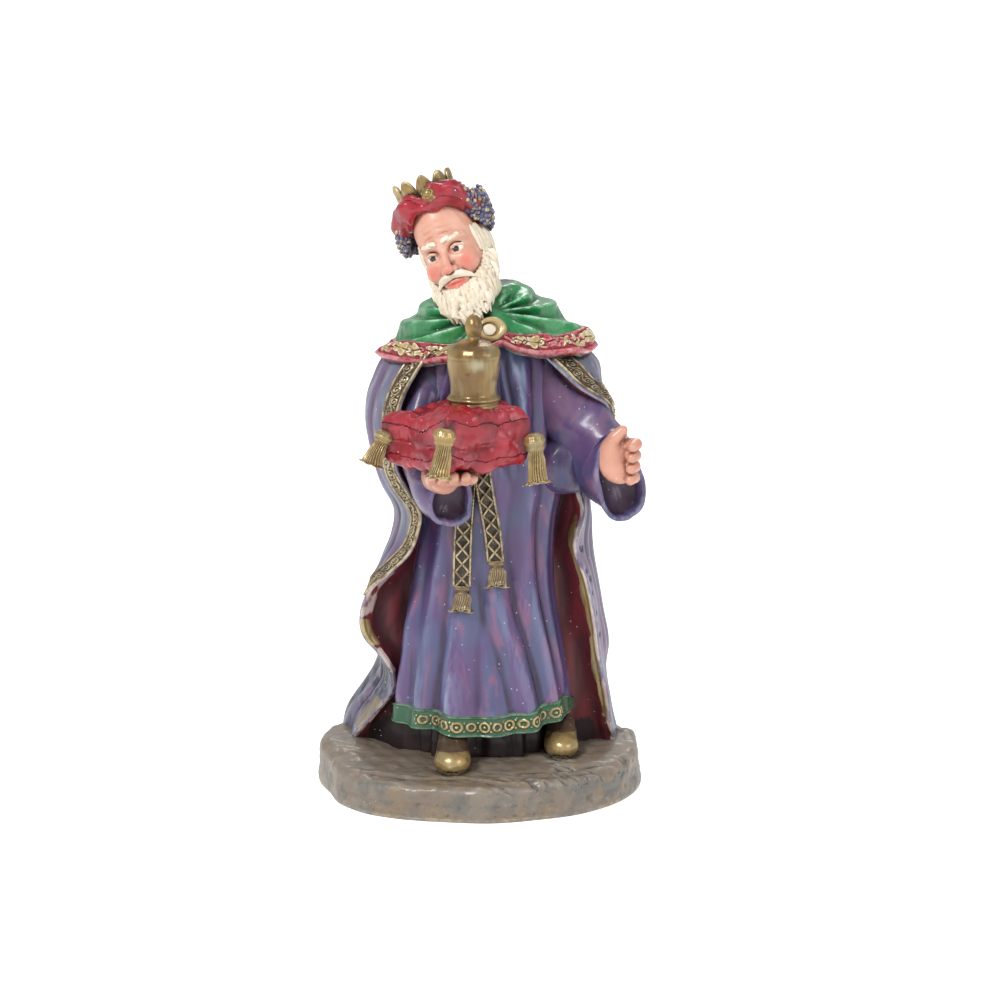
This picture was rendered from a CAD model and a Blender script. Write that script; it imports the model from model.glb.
"""Nativity wise man figurine: the painted resin casting, sculpted finely over its CAD solid."""

import math

import bpy
import numpy as np
from mathutils import Matrix, Vector


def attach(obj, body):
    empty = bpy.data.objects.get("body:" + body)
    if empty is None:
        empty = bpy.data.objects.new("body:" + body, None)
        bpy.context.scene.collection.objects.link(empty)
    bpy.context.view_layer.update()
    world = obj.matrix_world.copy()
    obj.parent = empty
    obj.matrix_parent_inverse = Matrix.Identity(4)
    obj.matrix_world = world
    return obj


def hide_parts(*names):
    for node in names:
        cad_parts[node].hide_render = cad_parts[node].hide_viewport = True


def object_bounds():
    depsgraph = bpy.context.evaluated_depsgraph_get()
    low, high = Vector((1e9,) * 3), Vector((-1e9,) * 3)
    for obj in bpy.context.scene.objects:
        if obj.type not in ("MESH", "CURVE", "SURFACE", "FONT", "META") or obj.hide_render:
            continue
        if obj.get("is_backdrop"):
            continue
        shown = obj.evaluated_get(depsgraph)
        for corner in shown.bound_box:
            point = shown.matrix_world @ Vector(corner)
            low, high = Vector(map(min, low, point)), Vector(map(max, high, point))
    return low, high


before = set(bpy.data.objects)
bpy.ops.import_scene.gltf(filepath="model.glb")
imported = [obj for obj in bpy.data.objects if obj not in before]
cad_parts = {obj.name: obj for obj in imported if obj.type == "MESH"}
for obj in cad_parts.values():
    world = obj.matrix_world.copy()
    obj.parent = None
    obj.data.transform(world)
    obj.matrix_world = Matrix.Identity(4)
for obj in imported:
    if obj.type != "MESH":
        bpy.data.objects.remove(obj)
cad_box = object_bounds()

NODE = "wise_man_figurine"
MM = 0.001
GROUND = 7.0  # height of the ground under the feet over the rock's underside, mm
TAU = 2 * math.pi
TRIANGLES_KEPT = 0.33  # share of each mesh left after thinning

# Forms. Lengths are mm: x to the figure's left, y to its back, h up from the ground under the feet.

BASE_WIDTH, BASE_DEPTH, BASE_THICK, BASE_EDGE_ROUND = 60.0, 53.0, 7.0, 1.8
BASE_OUTLINE = (
    (-180, 1.0), (-150, 1.0), (-122, 1.025), (-101, 1.025), (-85, 1.0), (-71, 0.98), (-57, 1.02),
    (-43, 1.045), (-28, 1.02), (-10, 1.0), (6, 1.0), (21, 0.985), (37, 0.985), (54, 0.985), (68, 0.975),
    (85, 0.99), (101, 0.995), (108, 1.02), (122, 1.03), (150, 1.0), (180, 1.0),
)

ROBE_FORM = (
    (3, 0.3, -0.6, 17.5, 13.0), (18, 0.1, 0.0, 15.7, 11.8), (33, 0.1, 0.3, 14.1, 10.8),
    (44, 0.8, 0.5, 13.6, 10.2), (50, 1.2, 0.5, 14.2, 10.3), (58, 0.4, 0.5, 13.7, 10.4),
    (68, 0.0, 0.5, 13.8, 10.4), (75, 0.0, 0.6, 12.6, 9.4), (80, 0.0, 0.6, 8.5, 6.5),
    (84, 0.0, 0.6, 4.5, 4.5),
)
ROBE_HEM = (
    (-3.2, 4), (-1.6, 6.8), (-1.13, 6.1), (-0.46, 5.8), (0, 5.0), (0.49, 5.8), (0.95, 7.2), (1.3, 7.9),
    (3.2, 4),
)
ROBE_TOP = 82
KNEE_PLACE = (23.5, -0.98)
KNEE_RAISED = 0.9
UNDERSKIRT_SET_BACK = 5.0
ROBE_FOLDS = (
    (-1.15, -0.95, 0.15, 1.0, 0.5), (-0.76, -0.62, 0.14, 1.2, 0.8), (-0.32, -0.22, 0.15, 1.9, 0.6),
    (0.55, 0.04, 0.13, 1.6, 0.6), (0.90, 0.56, 0.13, 1.4, 0.9), (1.14, 0.96, 0.10, 0.8, 0.6),
)
CHEST_GATHERS = ((-0.55, 0.06), (-0.38, 0.05), (0.02, 0.06), (0.2, 0.05), (0.36, 0.05), (0.54, 0.06))
HEM_BAND_TALL = 3.9
RING_PITCH = 0.137  # radians round the body

CLOAK_LEFT_EDGE = (
    (-1, -25.0, 2.0), (1.5, -24.3, 0.6), (4.4, -22.4, -1.4), (8, -19.6, -3.2), (11, -17.1, -4.2),
    (15, -16.8, -4.9), (19, -19.1, -5.5), (22, -21.4, -6.4), (27, -22.1, -7.5), (32, -20.0, -8.8),
    (35.5, -16.2, -11.2), (39, -12.9, -12.4), (43, -11.2, -12.8), (47, -10.9, -12.4), (50, -13.0, -10.8),
    (53.5, -15.2, -9.5), (59, -15.2, -9.4), (64, -14.8, -10.0), (68, -13.5, -11.0), (72, -11.2, -11.0),
    (78, -7.0, -9.5),
)
CLOAK_LEFT_SIDE = (
    (-1, -25.6, 7.4), (4.9, -23.4, 6.0), (9, -20.8, 4.0), (13, -18.7, 2.8), (19, -19.0, 1.5),
    (25, -20.5, 0.5), (30, -20.8, 0.0), (36, -18.3, 0.0), (40, -16.5, 0.0), (44.6, -15.7, 0.0),
    (50, -18.4, 0.0), (57, -20.2, 0.0), (62, -21.0, 0.0), (68.7, -19.8, 0.0), (74, -17.0, 0.0),
    (78, -12.0, 0.0),
)
CLOAK_BACK_LEFT = (
    (-1, -26.0, 15.0), (4.9, -24.3, 14.2), (9, -21.4, 13.0), (13, -18.8, 11.8), (22, -16.0, 10.8),
    (33, -14.2, 10.5), (44, -13.0, 10.0), (55, -14.5, 9.6), (68, -13.5, 8.5), (78, -8.0, 6.0),
)
CLOAK_BACK = (
    (-1, -2.0, 20.5), (5, -1.5, 18.5), (14, -1.0, 16.0), (30, 0.0, 13.2), (44, 0.0, 12.0), (55, 0.0, 11.6),
    (68, 0.0, 10.6), (78, 0.0, 7.4),
)
CLOAK_BACK_RIGHT = (
    (-1, 19.0, 14.0), (14, 17.0, 12.5), (30, 16.0, 11.5), (44, 14.8, 10.6), (55, 15.5, 9.8),
    (68, 14.5, 8.5), (78, 8.5, 6.0),
)
CLOAK_RIGHT_SIDE = (
    (-1, 25.6, 8.6), (7, 23.4, 7.2), (14, 22.4, 5.8), (19, 22.9, 4.0), (27, 21.9, 4.0), (36.5, 20.4, 3.0),
    (43, 20.0, 3.0), (48, 19.6, 2.5), (54, 20.8, 1.5), (60, 23.0, 0.8), (64.6, 22.9, 1.0),
    (67.4, 21.9, 2.0), (73.5, 20.2, 2.0), (78, 12.0, 1.0),
)
CLOAK_RIGHT_EDGE = (
    (-1, 25.0, 2.6), (1.5, 24.9, 1.6), (3.7, 24.4, 0.2), (10.3, 23.5, -3.4), (19.8, 21.7, -5.8),
    (24.7, 21.1, -7.2), (33, 19.4, -7.2), (38.8, 17.4, -6.3), (45.6, 18.9, -3.5), (50, 18.0, -2.2),
    (55, 19.5, -2.2), (60, 23.3, -3.0), (63.6, 23.4, -4.4), (65.4, 22.5, -6.4), (66.9, 20.4, -8.2),
    (68.7, 17.7, -9.4), (71.2, 15.0, -10.4), (73.4, 12.6, -10.6), (78, 8.0, -9.5),
)
CLOAK_BOTTOM, CLOAK_TOP = -0.8, 78
CLOAK_EDGE_THICK = 1.1
LINING_REACH = 0.82
LINING_HOLLOW = 1.6
CLOAK_FOLDS = 9
CLOAK_FOLD_DEEP = 0.9
CLOAK_DENTS = (  # height, and how far along the cloak's outer line
    (38.5, 0.965), (34.6, 0.978), (33.0, 0.958), (30.4, 0.970), (26.6, 0.964), (24.6, 0.980),
    (22.4, 0.960),
)

CAPE_NECK = (-1.2, 0.3, 7.4, 6.4)
CAPE_NECK_HEIGHT = 85.4
CAPE_NECK_TILT = 1.5
CAPE_FALL = (1.4, -0.8, 19.5, 12.6)
CAPE_HEM = (
    (-3.2, 75.4), (-1.57, 73.4), (-1.0, 73.6), (-0.6, 73.9), (-0.25, 74.6), (-0.02, 76.2), (0.12, 77.5),
    (0.24, 76.4), (0.5, 75.5), (0.9, 75.0), (1.57, 75.0), (2.4, 75.2), (3.2, 75.4),
)
CAPE_SHOULDER = 1.3
CAPE_THICK = 1.3
CAPE_FOLD_DEEP = 0.75
CAPE_FOLDS = 13
HEM_STARTS = 0.77
BROOCH_PLACE = (2.0, -12.7, 79.8)

GIVING_SLEEVE = (
    (-8.5, -1.5, 73.5, 4.6, 5.0), (-9.8, -4.6, 66.0, 5.0, 5.4), (-10.2, -7.6, 58.0, 4.6, 5.8),
    (-8.4, -12.8, 52.2, 4.2, 5.9), (-5.3, -17.6, 50.2, 4.2, 5.4),
)
OPEN_SLEEVE = (
    (10.5, 0.5, 72.0, 5.4, 5.8), (15.0, -1.5, 65.0, 5.4, 6.2), (18.7, -3.7, 59.0, 5.0, 6.9),
    (22.2, -6.4, 54.4, 4.8, 7.8), (24.9, -9.4, 52.3, 4.9, 8.5),
)
OPEN_SLEEVE_LEAN = math.radians(14)
SLEEVE_WALL = 0.9
SLEEVE_HOLLOW = 2.6
SLEEVE_DRAPE = ((14.6, -3.0, 53.6), (7.0, 4.6, 5.6))

CUSHION_PLACE = (-4.4, -20.4, 61.2)
CUSHION_HALF_DIAGONAL = 13.4
CUSHION_TURN = math.radians(-5)
CUSHION_HALF_THICK = 4.9
CUSHION_EDGE = 2.4
CUSHION_FULLER_TOP = 1.45
CORNER_LIFT = 0.4
FRONT_CORNER_LIFT = 2.2
JAR_PLACE = (-1.2, -20.6, 65.9)
JAR_PROFILE = (  # height and radius, from the knob down
    (17.7, 0.0), (17.5, 0.6), (16.9, 1.2), (16.0, 1.55), (15.1, 1.6), (14.2, 1.3), (13.5, 1.1),
    (13.1, 1.5), (12.8, 2.5), (12.4, 3.5), (11.8, 4.35), (11.0, 4.75), (10.3, 4.8), (10.1, 4.65),
    (9.9, 4.75), (8.0, 4.6), (6.0, 4.2), (4.6, 4.05), (3.6, 4.1), (3.3, 4.3), (3.0, 4.65), (2.65, 4.65),
    (2.4, 4.3), (2.15, 4.35), (1.8, 4.7), (1.2, 4.6), (0.7, 5.0), (0.1, 5.1), (-1.0, 4.9), (-1.5, 0.0),
)
TASSELS = (
    ((-6.2, -33.6, 64.2), (-0.14, -0.06, -1.0), 7.2), ((9.1, -21.4, 61.2), (0.16, -0.05, -1.0), 7.6),
    ((-17.0, -19.4, 61.4), (-0.42, -0.1, -1.0), 5.2), ((-6.4, -9.6, 64.6), (-0.5, 0.2, -1.0), 3.5),
)

HEAD_PLACE = (-4.9, -3.4, 93.0)
HEAD_ROLL, HEAD_BOW, HEAD_TURN = math.radians(-24), math.radians(-4), math.radians(-14)
TURBAN_LEVEL = math.radians(7)
CROWN_LEVEL = math.radians(3)
CROWN_POINTS = 10
CROWN_RADIUS = 4.9
CROWN_NOD = 0.5  # how far the front leaves stand over the rear ones
CROWN_CENTRE = (-1.1, 0.3)
CROWN_FOOT, CROWN_TIP = 8.2, 13.2
TURBAN_PUFFS = 9
TURBAN_KNOT_AT = 0.0
BAND_SWELL_AT = 1.6

SHOES = (
    ((-5.2, -15.6, 2.1), (3.3, 4.9, 3.0), math.radians(2)),
    ((14.6, -7.6, 2.7), (3.1, 4.4, 2.7), math.radians(14)),
)


# Curves, noise and other arithmetic

def through(stops, at):
    """Values on a smooth curve through (position, value, ...) stops, with ends held level."""
    stops = np.asarray(stops, float)
    at = np.asarray(at, float)
    place, value = stops[:, 0], stops[:, 1:]
    slope = np.gradient(value, place, axis=0)
    i = np.clip(np.searchsorted(place, at) - 1, 0, len(place) - 2)
    span = (place[i + 1] - place[i])[..., None]
    t = np.clip((at - place[i])[..., None] / span, 0, 1)
    rise = (2 * t**3 - 3 * t**2 + 1) * value[i] + (3 * t**2 - 2 * t**3) * value[i + 1]
    return rise + span * ((t**3 - 2 * t**2 + t) * slope[i] + (t**3 - t**2) * slope[i + 1])


def smooth_step(low, high, x):
    t = np.clip((x - low) / (high - low), 0, 1)
    return t * t * (3 - 2 * t)


def unit(v):
    return v / np.clip(np.linalg.norm(v, axis=-1, keepdims=True), 1e-9, None)


def hashed(cell, seed):
    """A repeatable number from 0 to 1 for each whole-numbered cell."""
    mixed = ((cell[..., 0] * 73856093) ^ (cell[..., 1] * 19349663) ^ (cell[..., 2] * 83492791)
             ^ (seed * 2654435))
    mixed = ((mixed ^ (mixed >> 13)) * 1274126177) & 0x7FFFFFFF
    return ((mixed ^ (mixed >> 16)) & 0xFFFFFF) / 0xFFFFFF


def lump(points, size, seed=0):
    """Smooth noise from -1 to 1 whose lumps are about one size across."""
    p = np.asarray(points, float) / size
    cell = np.floor(p).astype(np.int64)
    f = p - cell
    f = f * f * f * (f * (f * 6 - 15) + 10)
    total = 0
    for corner in range(8):
        step = np.array([corner & 1, corner >> 1 & 1, corner >> 2 & 1])
        share = np.prod(np.where(step == 1, f, 1 - f), axis=-1)
        total = total + share * hashed(cell + step, seed)
    return 2 * total - 1


def lumps(points, size, octaves=3, seed=0):
    """Noise of several sizes, each half as large and half as high as the one before."""
    total, height = 0, 1.0
    for i in range(octaves):
        total = total + height * lump(points, size * 0.5**i, seed + 7 * i)
        height *= 0.5
    return total


def ripple(x, y, z):
    return ((np.sin(1.7 * x + 0.8 * y) + np.sin(1.3 * y - 0.9 * z + 1.1) + np.sin(1.9 * z + 0.6 * x + 2.3))
            / 3)


# Forms and pieces

class Form:
    """Points and faces in figure units with painted masks, gathered before they become one piece."""

    def __init__(self):
        self.points, self.faces, self.masks, self.count = [], [], {}, 0

    def add(self, points, faces, outward=True, **masks):
        points = np.asarray(points, float).reshape(-1, 3)
        faces = [np.asarray(f, np.int64) for f in faces if len(f)]
        if outward:
            volume = 0
            for f in faces:
                a, b, c = points[f[:, 0]], points[f[:, 1]], points[f[:, 2]]
                volume += np.einsum("ij,ij->", a, np.cross(b, c))
                if f.shape[1] == 4:
                    volume += np.einsum("ij,ij->", a, np.cross(c, points[f[:, 3]]))
            if volume < 0:
                faces = [f[:, ::-1] for f in faces]
        for key in set(self.masks) | set(masks):
            held = self.masks.setdefault(key, [np.zeros(self.count)] if self.count else [])
            held.append(np.broadcast_to(np.asarray(masks.get(key, 0.0), float).reshape(-1), (len(points),)))
        self.faces += [f + self.count for f in faces]
        self.points.append(points)
        self.count += len(points)
        return self

    def grid(self, points, around=False, along=False, caps=False, **masks):
        """Points in rows and columns, joined into four-sided faces. Caps close the first and last rows."""
        points = np.asarray(points, float)
        rows, columns = points.shape[:2]
        index = np.arange(rows * columns).reshape(rows, columns)
        if around:
            index = np.concatenate([index, index[:, :1]], axis=1)
        if along:
            index = np.concatenate([index, index[:1]], axis=0)
        quads = np.stack([index[:-1, :-1], index[:-1, 1:], index[1:, 1:], index[1:, :-1]],
                         axis=-1).reshape(-1, 4)
        masks = {k: np.broadcast_to(np.asarray(v, float), (rows, columns)).reshape(-1)
                 for k, v in masks.items()}
        flat = points.reshape(-1, 3)
        faces = [quads]
        if caps:
            n = len(flat)
            flat = np.concatenate([flat, points[0].mean(0)[None], points[-1].mean(0)[None]])
            first, last = index[0], index[-1]
            low = np.stack([first[1:], first[:-1], np.full(len(first) - 1, n)], axis=-1)
            high = np.stack([last[:-1], last[1:], np.full(len(last) - 1, n + 1)], axis=-1)
            faces += [low, high]
            masks = {k: np.concatenate([v, [v[0], v[-1]]]) for k, v in masks.items()}
        return self.add(flat, faces, **masks)


PIECES = []


def edges_of(faces):
    pairs = [np.stack([f, np.roll(f, -1, axis=1)], axis=-1).reshape(-1, 2) for f in faces]
    pairs = np.sort(np.concatenate(pairs), axis=1)
    return np.unique(pairs, axis=0)


def normals_of(points, faces):
    total = np.zeros_like(points)
    for f in faces:
        if f.shape[1] == 4:
            n = np.cross(points[f[:, 2]] - points[f[:, 0]], points[f[:, 3]] - points[f[:, 1]])
        else:
            n = np.cross(points[f[:, 1]] - points[f[:, 0]], points[f[:, 2]] - points[f[:, 0]])
        for column in f.T:
            for k in range(3):
                total[:, k] += np.bincount(column, weights=n[:, k], minlength=len(points))
    return unit(total)


def averaged(values, edges, count, passes):
    """Values blurred over the surface by repeated averages of neighbours."""
    degree = np.bincount(edges.ravel(), minlength=count)
    values = values.copy()
    for _ in range(passes):
        for k in range(values.shape[1]):
            v = values[:, k]
            near = np.bincount(edges[:, 0], weights=v[edges[:, 1]], minlength=count)
            near += np.bincount(edges[:, 1], weights=v[edges[:, 0]], minlength=count)
            values[:, k] = 0.5 * v + 0.5 * near / np.maximum(degree, 1)
    return values


def piece(name, form, material, blur=14):
    points = np.concatenate(form.points)
    widths = sorted({f.shape[1] for f in form.faces})
    faces = [np.concatenate([f for f in form.faces if f.shape[1] == w]) for w in widths]
    edges = edges_of(faces)
    normals = normals_of(points, faces)
    relief = np.einsum("ij,ij->i", points - averaged(points, edges, len(points), blur), normals)
    mesh = bpy.data.meshes.new(name)
    whole = (points + (0, 0, GROUND)) * MM
    mesh.from_pydata(whole.tolist(), [], [face for f in faces for face in f.tolist()])
    mesh.update()
    mesh.shade_smooth()
    made = bpy.data.objects.new(name, mesh)
    bpy.context.scene.collection.objects.link(made)
    mesh.materials.append(material)
    masks = {k: np.concatenate(v) for k, v in form.masks.items()}
    masks["relief"] = relief
    PIECES.append((made, points, normals, masks))
    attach(made, "root")
    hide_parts(NODE)
    return made


def sphere_directions(count):
    i = np.arange(count) + 0.5
    z = 1 - 2 * i / count
    turn = math.pi * (1 + 5**0.5) * i
    ring = np.sqrt(1 - z * z)
    return np.stack([ring * np.cos(turn), ring * np.sin(turn), z], axis=-1)


def find_crevices():
    """Gives each point the share of its sky that nearby surfaces close off, and its relief, as attributes."""
    cell = 0.42
    every = np.concatenate([p for _, p, _, _ in PIECES])
    low = every.min(0) - 6
    size = ((every.max(0) + 6 - low) / cell).astype(int) + 1
    filled = np.zeros(size, bool)
    filled[tuple(((every - low) / cell).astype(int).T)] = True
    for made, points, normals, masks in PIECES:
        shut, whole = np.zeros(len(points)), np.zeros(len(points))
        for direction in sphere_directions(30):
            facing = normals @ direction
            use = np.flatnonzero(facing > 0.25)
            start = points[use] + 0.4 * normals[use]
            blocked = np.zeros(len(use), bool)
            for reach in (0.9, 1.4, 2.0, 2.8, 3.8):
                at = ((start + direction * reach - low) / cell).astype(int)
                blocked |= filled[tuple(at.T)]
            shut[use] += facing[use] * blocked
            whole[use] += facing[use]
        masks["crevice"] = shut / np.maximum(whole, 1e-6)
        for key, values in masks.items():
            layer = made.data.attributes.new(key, "FLOAT", "POINT")
            layer.data.foreach_set("value", values.astype(np.float32))


def thin_out():
    """Leaves a share of the triangles, most of them where the surface bends."""
    for made, *_ in PIECES:
        made.modifiers.new("thinning", "DECIMATE").ratio = TRIANGLES_KEPT
    graph = bpy.context.evaluated_depsgraph_get()
    thinned = [bpy.data.meshes.new_from_object(made.evaluated_get(graph)) for made, *_ in PIECES]
    for (made, *_), mesh in zip(PIECES, thinned):
        made.modifiers.clear()
        made.data = mesh


# Modelling clay: a signed distance on a grid, negative inside, whose skin becomes a mesh

class Clay:
    def __init__(self, low, high, cell):
        self.low, self.cell = np.array(low, float), cell
        self.size = np.ceil((np.array(high) - self.low) / cell).astype(int) + 1
        self.field = np.full(self.size, 9.0, np.float32)

    def near(self, low, high, margin):
        first = np.clip(np.floor((np.array(low) - margin - self.low) / self.cell).astype(int), 0, self.size)
        last = np.clip(np.ceil((np.array(high) + margin - self.low) / self.cell).astype(int) + 1, 0,
                       self.size)
        axes = [self.low[k] + self.cell * np.arange(first[k], last[k]) for k in range(3)]
        grid = np.stack(np.meshgrid(*axes, indexing="ij"), axis=-1)
        return tuple(slice(a, b) for a, b in zip(first, last)), grid

    def blend(self, part, distance, blend, cut):
        held = self.field[part]
        other = -distance if cut else distance
        pick = 1.0 if cut else -1.0
        mix = np.clip(0.5 + 0.5 * pick * (other - held) / blend, 0, 1)
        self.field[part] = held * (1 - mix) + other * mix + pick * blend * mix * (1 - mix)

    def ball(self, centre, half, blend=0.4, cut=False, turn=0.0, lean=0.0):
        centre, half = np.array(centre, float), np.array(half, float)
        reach = half.max() + blend
        part, grid = self.near(centre - reach, centre + reach, 0.3)
        p = grid - centre
        x, y, z = p[..., 0], p[..., 1], p[..., 2]
        c, s = math.cos(turn), math.sin(turn)
        x, y = c * x + s * y, -s * x + c * y
        c, s = math.cos(lean), math.sin(lean)
        y, z = c * y + s * z, -s * y + c * z
        p = np.stack([x, y, z], axis=-1)
        k0 = np.linalg.norm(p / half, axis=-1)
        k1 = np.linalg.norm(p / half**2, axis=-1)
        self.blend(part, k0 * (k0 - 1) / np.maximum(k1, 1e-6), blend, cut)

    def rod(self, points, radii, blend=0.3, cut=False):
        points, radii = np.asarray(points, float), np.asarray(radii, float)
        reach = radii.max() + blend
        part, grid = self.near(points.min(0) - reach, points.max(0) + reach, 0.3)
        best = np.full(grid.shape[:3], 99.0)
        for a, b, ra, rb in zip(points, points[1:], radii, radii[1:]):
            along = b - a
            t = np.clip(((grid - a) @ along) / (along @ along), 0, 1)
            best = np.minimum(best, np.linalg.norm(grid - a - t[..., None] * along, axis=-1)
                              - (ra + (rb - ra) * t))
        self.blend(part, best, blend, cut)

    def skin(self):
        """The zero surface: one point in every cell that it crosses, joined into four-sided faces."""
        inside = self.field < 0
        corners = [(i, j, k) for i in (0, 1) for j in (0, 1) for k in (0, 1)]
        n = self.size - 1
        count = sum(inside[i : i + n[0], j : j + n[1], k : k + n[2]].astype(np.int8) for i, j, k in corners)
        cells = np.argwhere((count > 0) & (count < 8))
        number = np.full(n, -1, np.int64)
        number[tuple(cells.T)] = np.arange(len(cells))
        total, hits = np.zeros((len(cells), 3)), np.zeros(len(cells))
        for a in corners:
            for axis in range(3):
                if a[axis]:
                    continue
                b = list(a)
                b[axis] = 1
                va = self.field[tuple((cells + a).T)]
                vb = self.field[tuple((cells + b).T)]
                cross = (va < 0) != (vb < 0)
                t = np.where(cross, va / np.where(cross, va - vb, 1), 0)
                point = np.repeat(np.array(a, float)[None], len(cells), axis=0)
                point[:, axis] += t
                total[cross] += point[cross]
                hits[cross] += 1
        points = self.low + self.cell * (cells + total / hits[:, None])
        quads = []
        for axis in range(3):
            u, v = (axis + 1) % 3, (axis + 2) % 3
            step = np.zeros(3, int)
            step[axis] = 1
            here = inside[: n[0] + 1 - step[0], : n[1] + 1 - step[1], : n[2] + 1 - step[2]]
            there = inside[step[0] :, step[1] :, step[2] :]
            crossing = np.argwhere(here != there)
            crossing = crossing[(crossing[:, u] > 0) & (crossing[:, v] > 0)]
            crossing = crossing[(crossing[:, u] < n[u]) & (crossing[:, v] < n[v])]
            ring = []
            for du, dv in ((-1, -1), (0, -1), (0, 0), (-1, 0)):
                at = crossing.copy()
                at[:, u] += du
                at[:, v] += dv
                ring.append(number[tuple(at.T)])
            quad = np.stack(ring, axis=-1)
            leaving = here[tuple(crossing.T)]
            quad[~leaving] = quad[~leaving][:, ::-1]
            quads.append(quad)
        return points, np.concatenate(quads)


def placed(points, matrix):
    m = np.array(matrix)
    return points @ m[:3, :3].T + m[:3, 3]


def head_matrix():
    roll = Matrix.Rotation(HEAD_ROLL, 4, "Y")
    bow = Matrix.Rotation(HEAD_BOW, 4, "X")
    return Matrix.Translation(HEAD_PLACE) @ roll @ bow @ Matrix.Rotation(HEAD_TURN, 4, "Z")


HEAD = head_matrix()
TURBAN = HEAD @ Matrix.Rotation(TURBAN_LEVEL, 4, "Y")
CROWN = HEAD @ Matrix.Rotation(CROWN_LEVEL, 4, "Y")


# Paints and materials

class Nodes:
    """Short names for the nodes that the paints are made of."""

    def __init__(self, name):
        self.material = bpy.data.materials.new(name)
        self.material.use_nodes = True
        self.tree = self.material.node_tree
        self.shader = self.tree.nodes["Principled BSDF"]
        self.place = self.tree.nodes.new("ShaderNodeTexCoord").outputs["Object"]

    def link(self, source, socket):
        if hasattr(source, "default_value") or hasattr(source, "links"):
            self.tree.links.new(source, socket)
        elif isinstance(source, tuple):
            socket.default_value = (*source, 1.0) if len(source) == 3 else source
        else:
            socket.default_value = source

    def attribute(self, name):
        node = self.tree.nodes.new("ShaderNodeAttribute")
        node.attribute_name = name
        return node.outputs["Fac"]

    def noise(self, size_mm, detail=3.0, stretch=(1, 1, 1), rough=0.55, distort=0.0):
        place = self.place
        if stretch != (1, 1, 1):
            mapping = self.tree.nodes.new("ShaderNodeMapping")
            mapping.inputs["Scale"].default_value = stretch
            self.link(place, mapping.inputs["Vector"])
            place = mapping.outputs["Vector"]
        node = self.tree.nodes.new("ShaderNodeTexNoise")
        self.link(place, node.inputs["Vector"])
        node.inputs["Scale"].default_value = 1000 / size_mm
        node.inputs["Detail"].default_value = detail
        node.inputs["Roughness"].default_value = rough
        node.inputs["Distortion"].default_value = distort
        return node.outputs["Fac"]

    def speck(self, size_mm):
        node = self.tree.nodes.new("ShaderNodeTexVoronoi")
        self.link(self.place, node.inputs["Vector"])
        node.inputs["Scale"].default_value = 1000 / size_mm
        return node.outputs["Distance"], node.outputs["Color"]

    def span(self, source, low, high, out_low=0.0, out_high=1.0):
        node = self.tree.nodes.new("ShaderNodeMapRange")
        node.interpolation_type = "SMOOTHSTEP"
        self.link(source, node.inputs["Value"])
        for key, value in zip(("From Min", "From Max", "To Min", "To Max"), (low, high, out_low, out_high)):
            node.inputs[key].default_value = value
        return node.outputs["Result"]

    def math(self, operation, a, b=0.0, clamp=False):
        node = self.tree.nodes.new("ShaderNodeMath")
        node.operation = operation
        node.use_clamp = clamp
        self.link(a, node.inputs[0])
        self.link(b, node.inputs[1])
        return node.outputs[0]

    def mix(self, share, a, b):
        node = self.tree.nodes.new("ShaderNodeMix")
        node.data_type = "RGBA"
        self.link(share, node.inputs[0])
        self.link(a, node.inputs[6])
        self.link(b, node.inputs[7])
        return node.outputs[2]

    def mix_value(self, share, a, b):
        node = self.tree.nodes.new("ShaderNodeMix")
        self.link(share, node.inputs[0])
        self.link(a, node.inputs[2])
        self.link(b, node.inputs[3])
        return node.outputs[0]


class Paint:
    """One paint: two base tones, patches, dry-brushed light on ridges, wash in recesses, gloss."""

    def __init__(self, tone, second, patch, light, wash, metal=0.0, rough=0.38, washed=1.0, lighted=0.7,
                 patched=0.5):
        self.__dict__.update(locals())


VIOLET = Paint((0.112, 0.060, 0.178), (0.085, 0.090, 0.195), (0.220, 0.095, 0.190), (0.28, 0.30, 0.46),
               (0.024, 0.012, 0.042), rough=0.36, washed=1.1, patched=0.85, lighted=0.3)
PLUM = Paint((0.105, 0.060, 0.160), (0.060, 0.060, 0.150), (0.190, 0.095, 0.175), (0.28, 0.30, 0.44),
             (0.018, 0.010, 0.032), rough=0.38, washed=1.1, patched=0.7, lighted=0.45)
MAUVE = Paint((0.155, 0.105, 0.195), (0.150, 0.160, 0.225), (0.235, 0.150, 0.215), (0.44, 0.46, 0.54),
              (0.020, 0.014, 0.028), rough=0.36, washed=1.1, patched=0.6, lighted=0.5)
AZURE = Paint((0.150, 0.195, 0.330), (0.120, 0.150, 0.280), (0.190, 0.230, 0.380), (0.42, 0.50, 0.66),
              (0.018, 0.018, 0.040), rough=0.34, lighted=0.6)
DUSK = Paint((0.085, 0.038, 0.110), (0.055, 0.030, 0.085), (0.120, 0.055, 0.125), (0.20, 0.16, 0.30),
             (0.032, 0.014, 0.036), rough=0.38, lighted=0.4)
BURGUNDY = Paint((0.115, 0.009, 0.013), (0.070, 0.005, 0.009), (0.190, 0.014, 0.020), (0.30, 0.05, 0.06),
                 (0.040, 0.003, 0.006), rough=0.50, lighted=0.12, patched=0.6)
MAROON = Paint((0.014, 0.002, 0.004), (0.010, 0.002, 0.003), (0.024, 0.003, 0.005), (0.06, 0.01, 0.02),
               (0.004, 0.001, 0.002), rough=0.6, lighted=0.05)
GREEN = Paint((0.014, 0.235, 0.060), (0.009, 0.170, 0.048), (0.060, 0.360, 0.120), (0.42, 0.74, 0.50),
              (0.003, 0.034, 0.013), rough=0.20, lighted=0.75, patched=0.5)
HEM_GREEN = Paint((0.017, 0.100, 0.038), (0.026, 0.110, 0.055), (0.066, 0.100, 0.060), (0.26, 0.36, 0.26),
                  (0.005, 0.018, 0.009), lighted=0.5, patched=0.8, washed=1.2)
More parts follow.
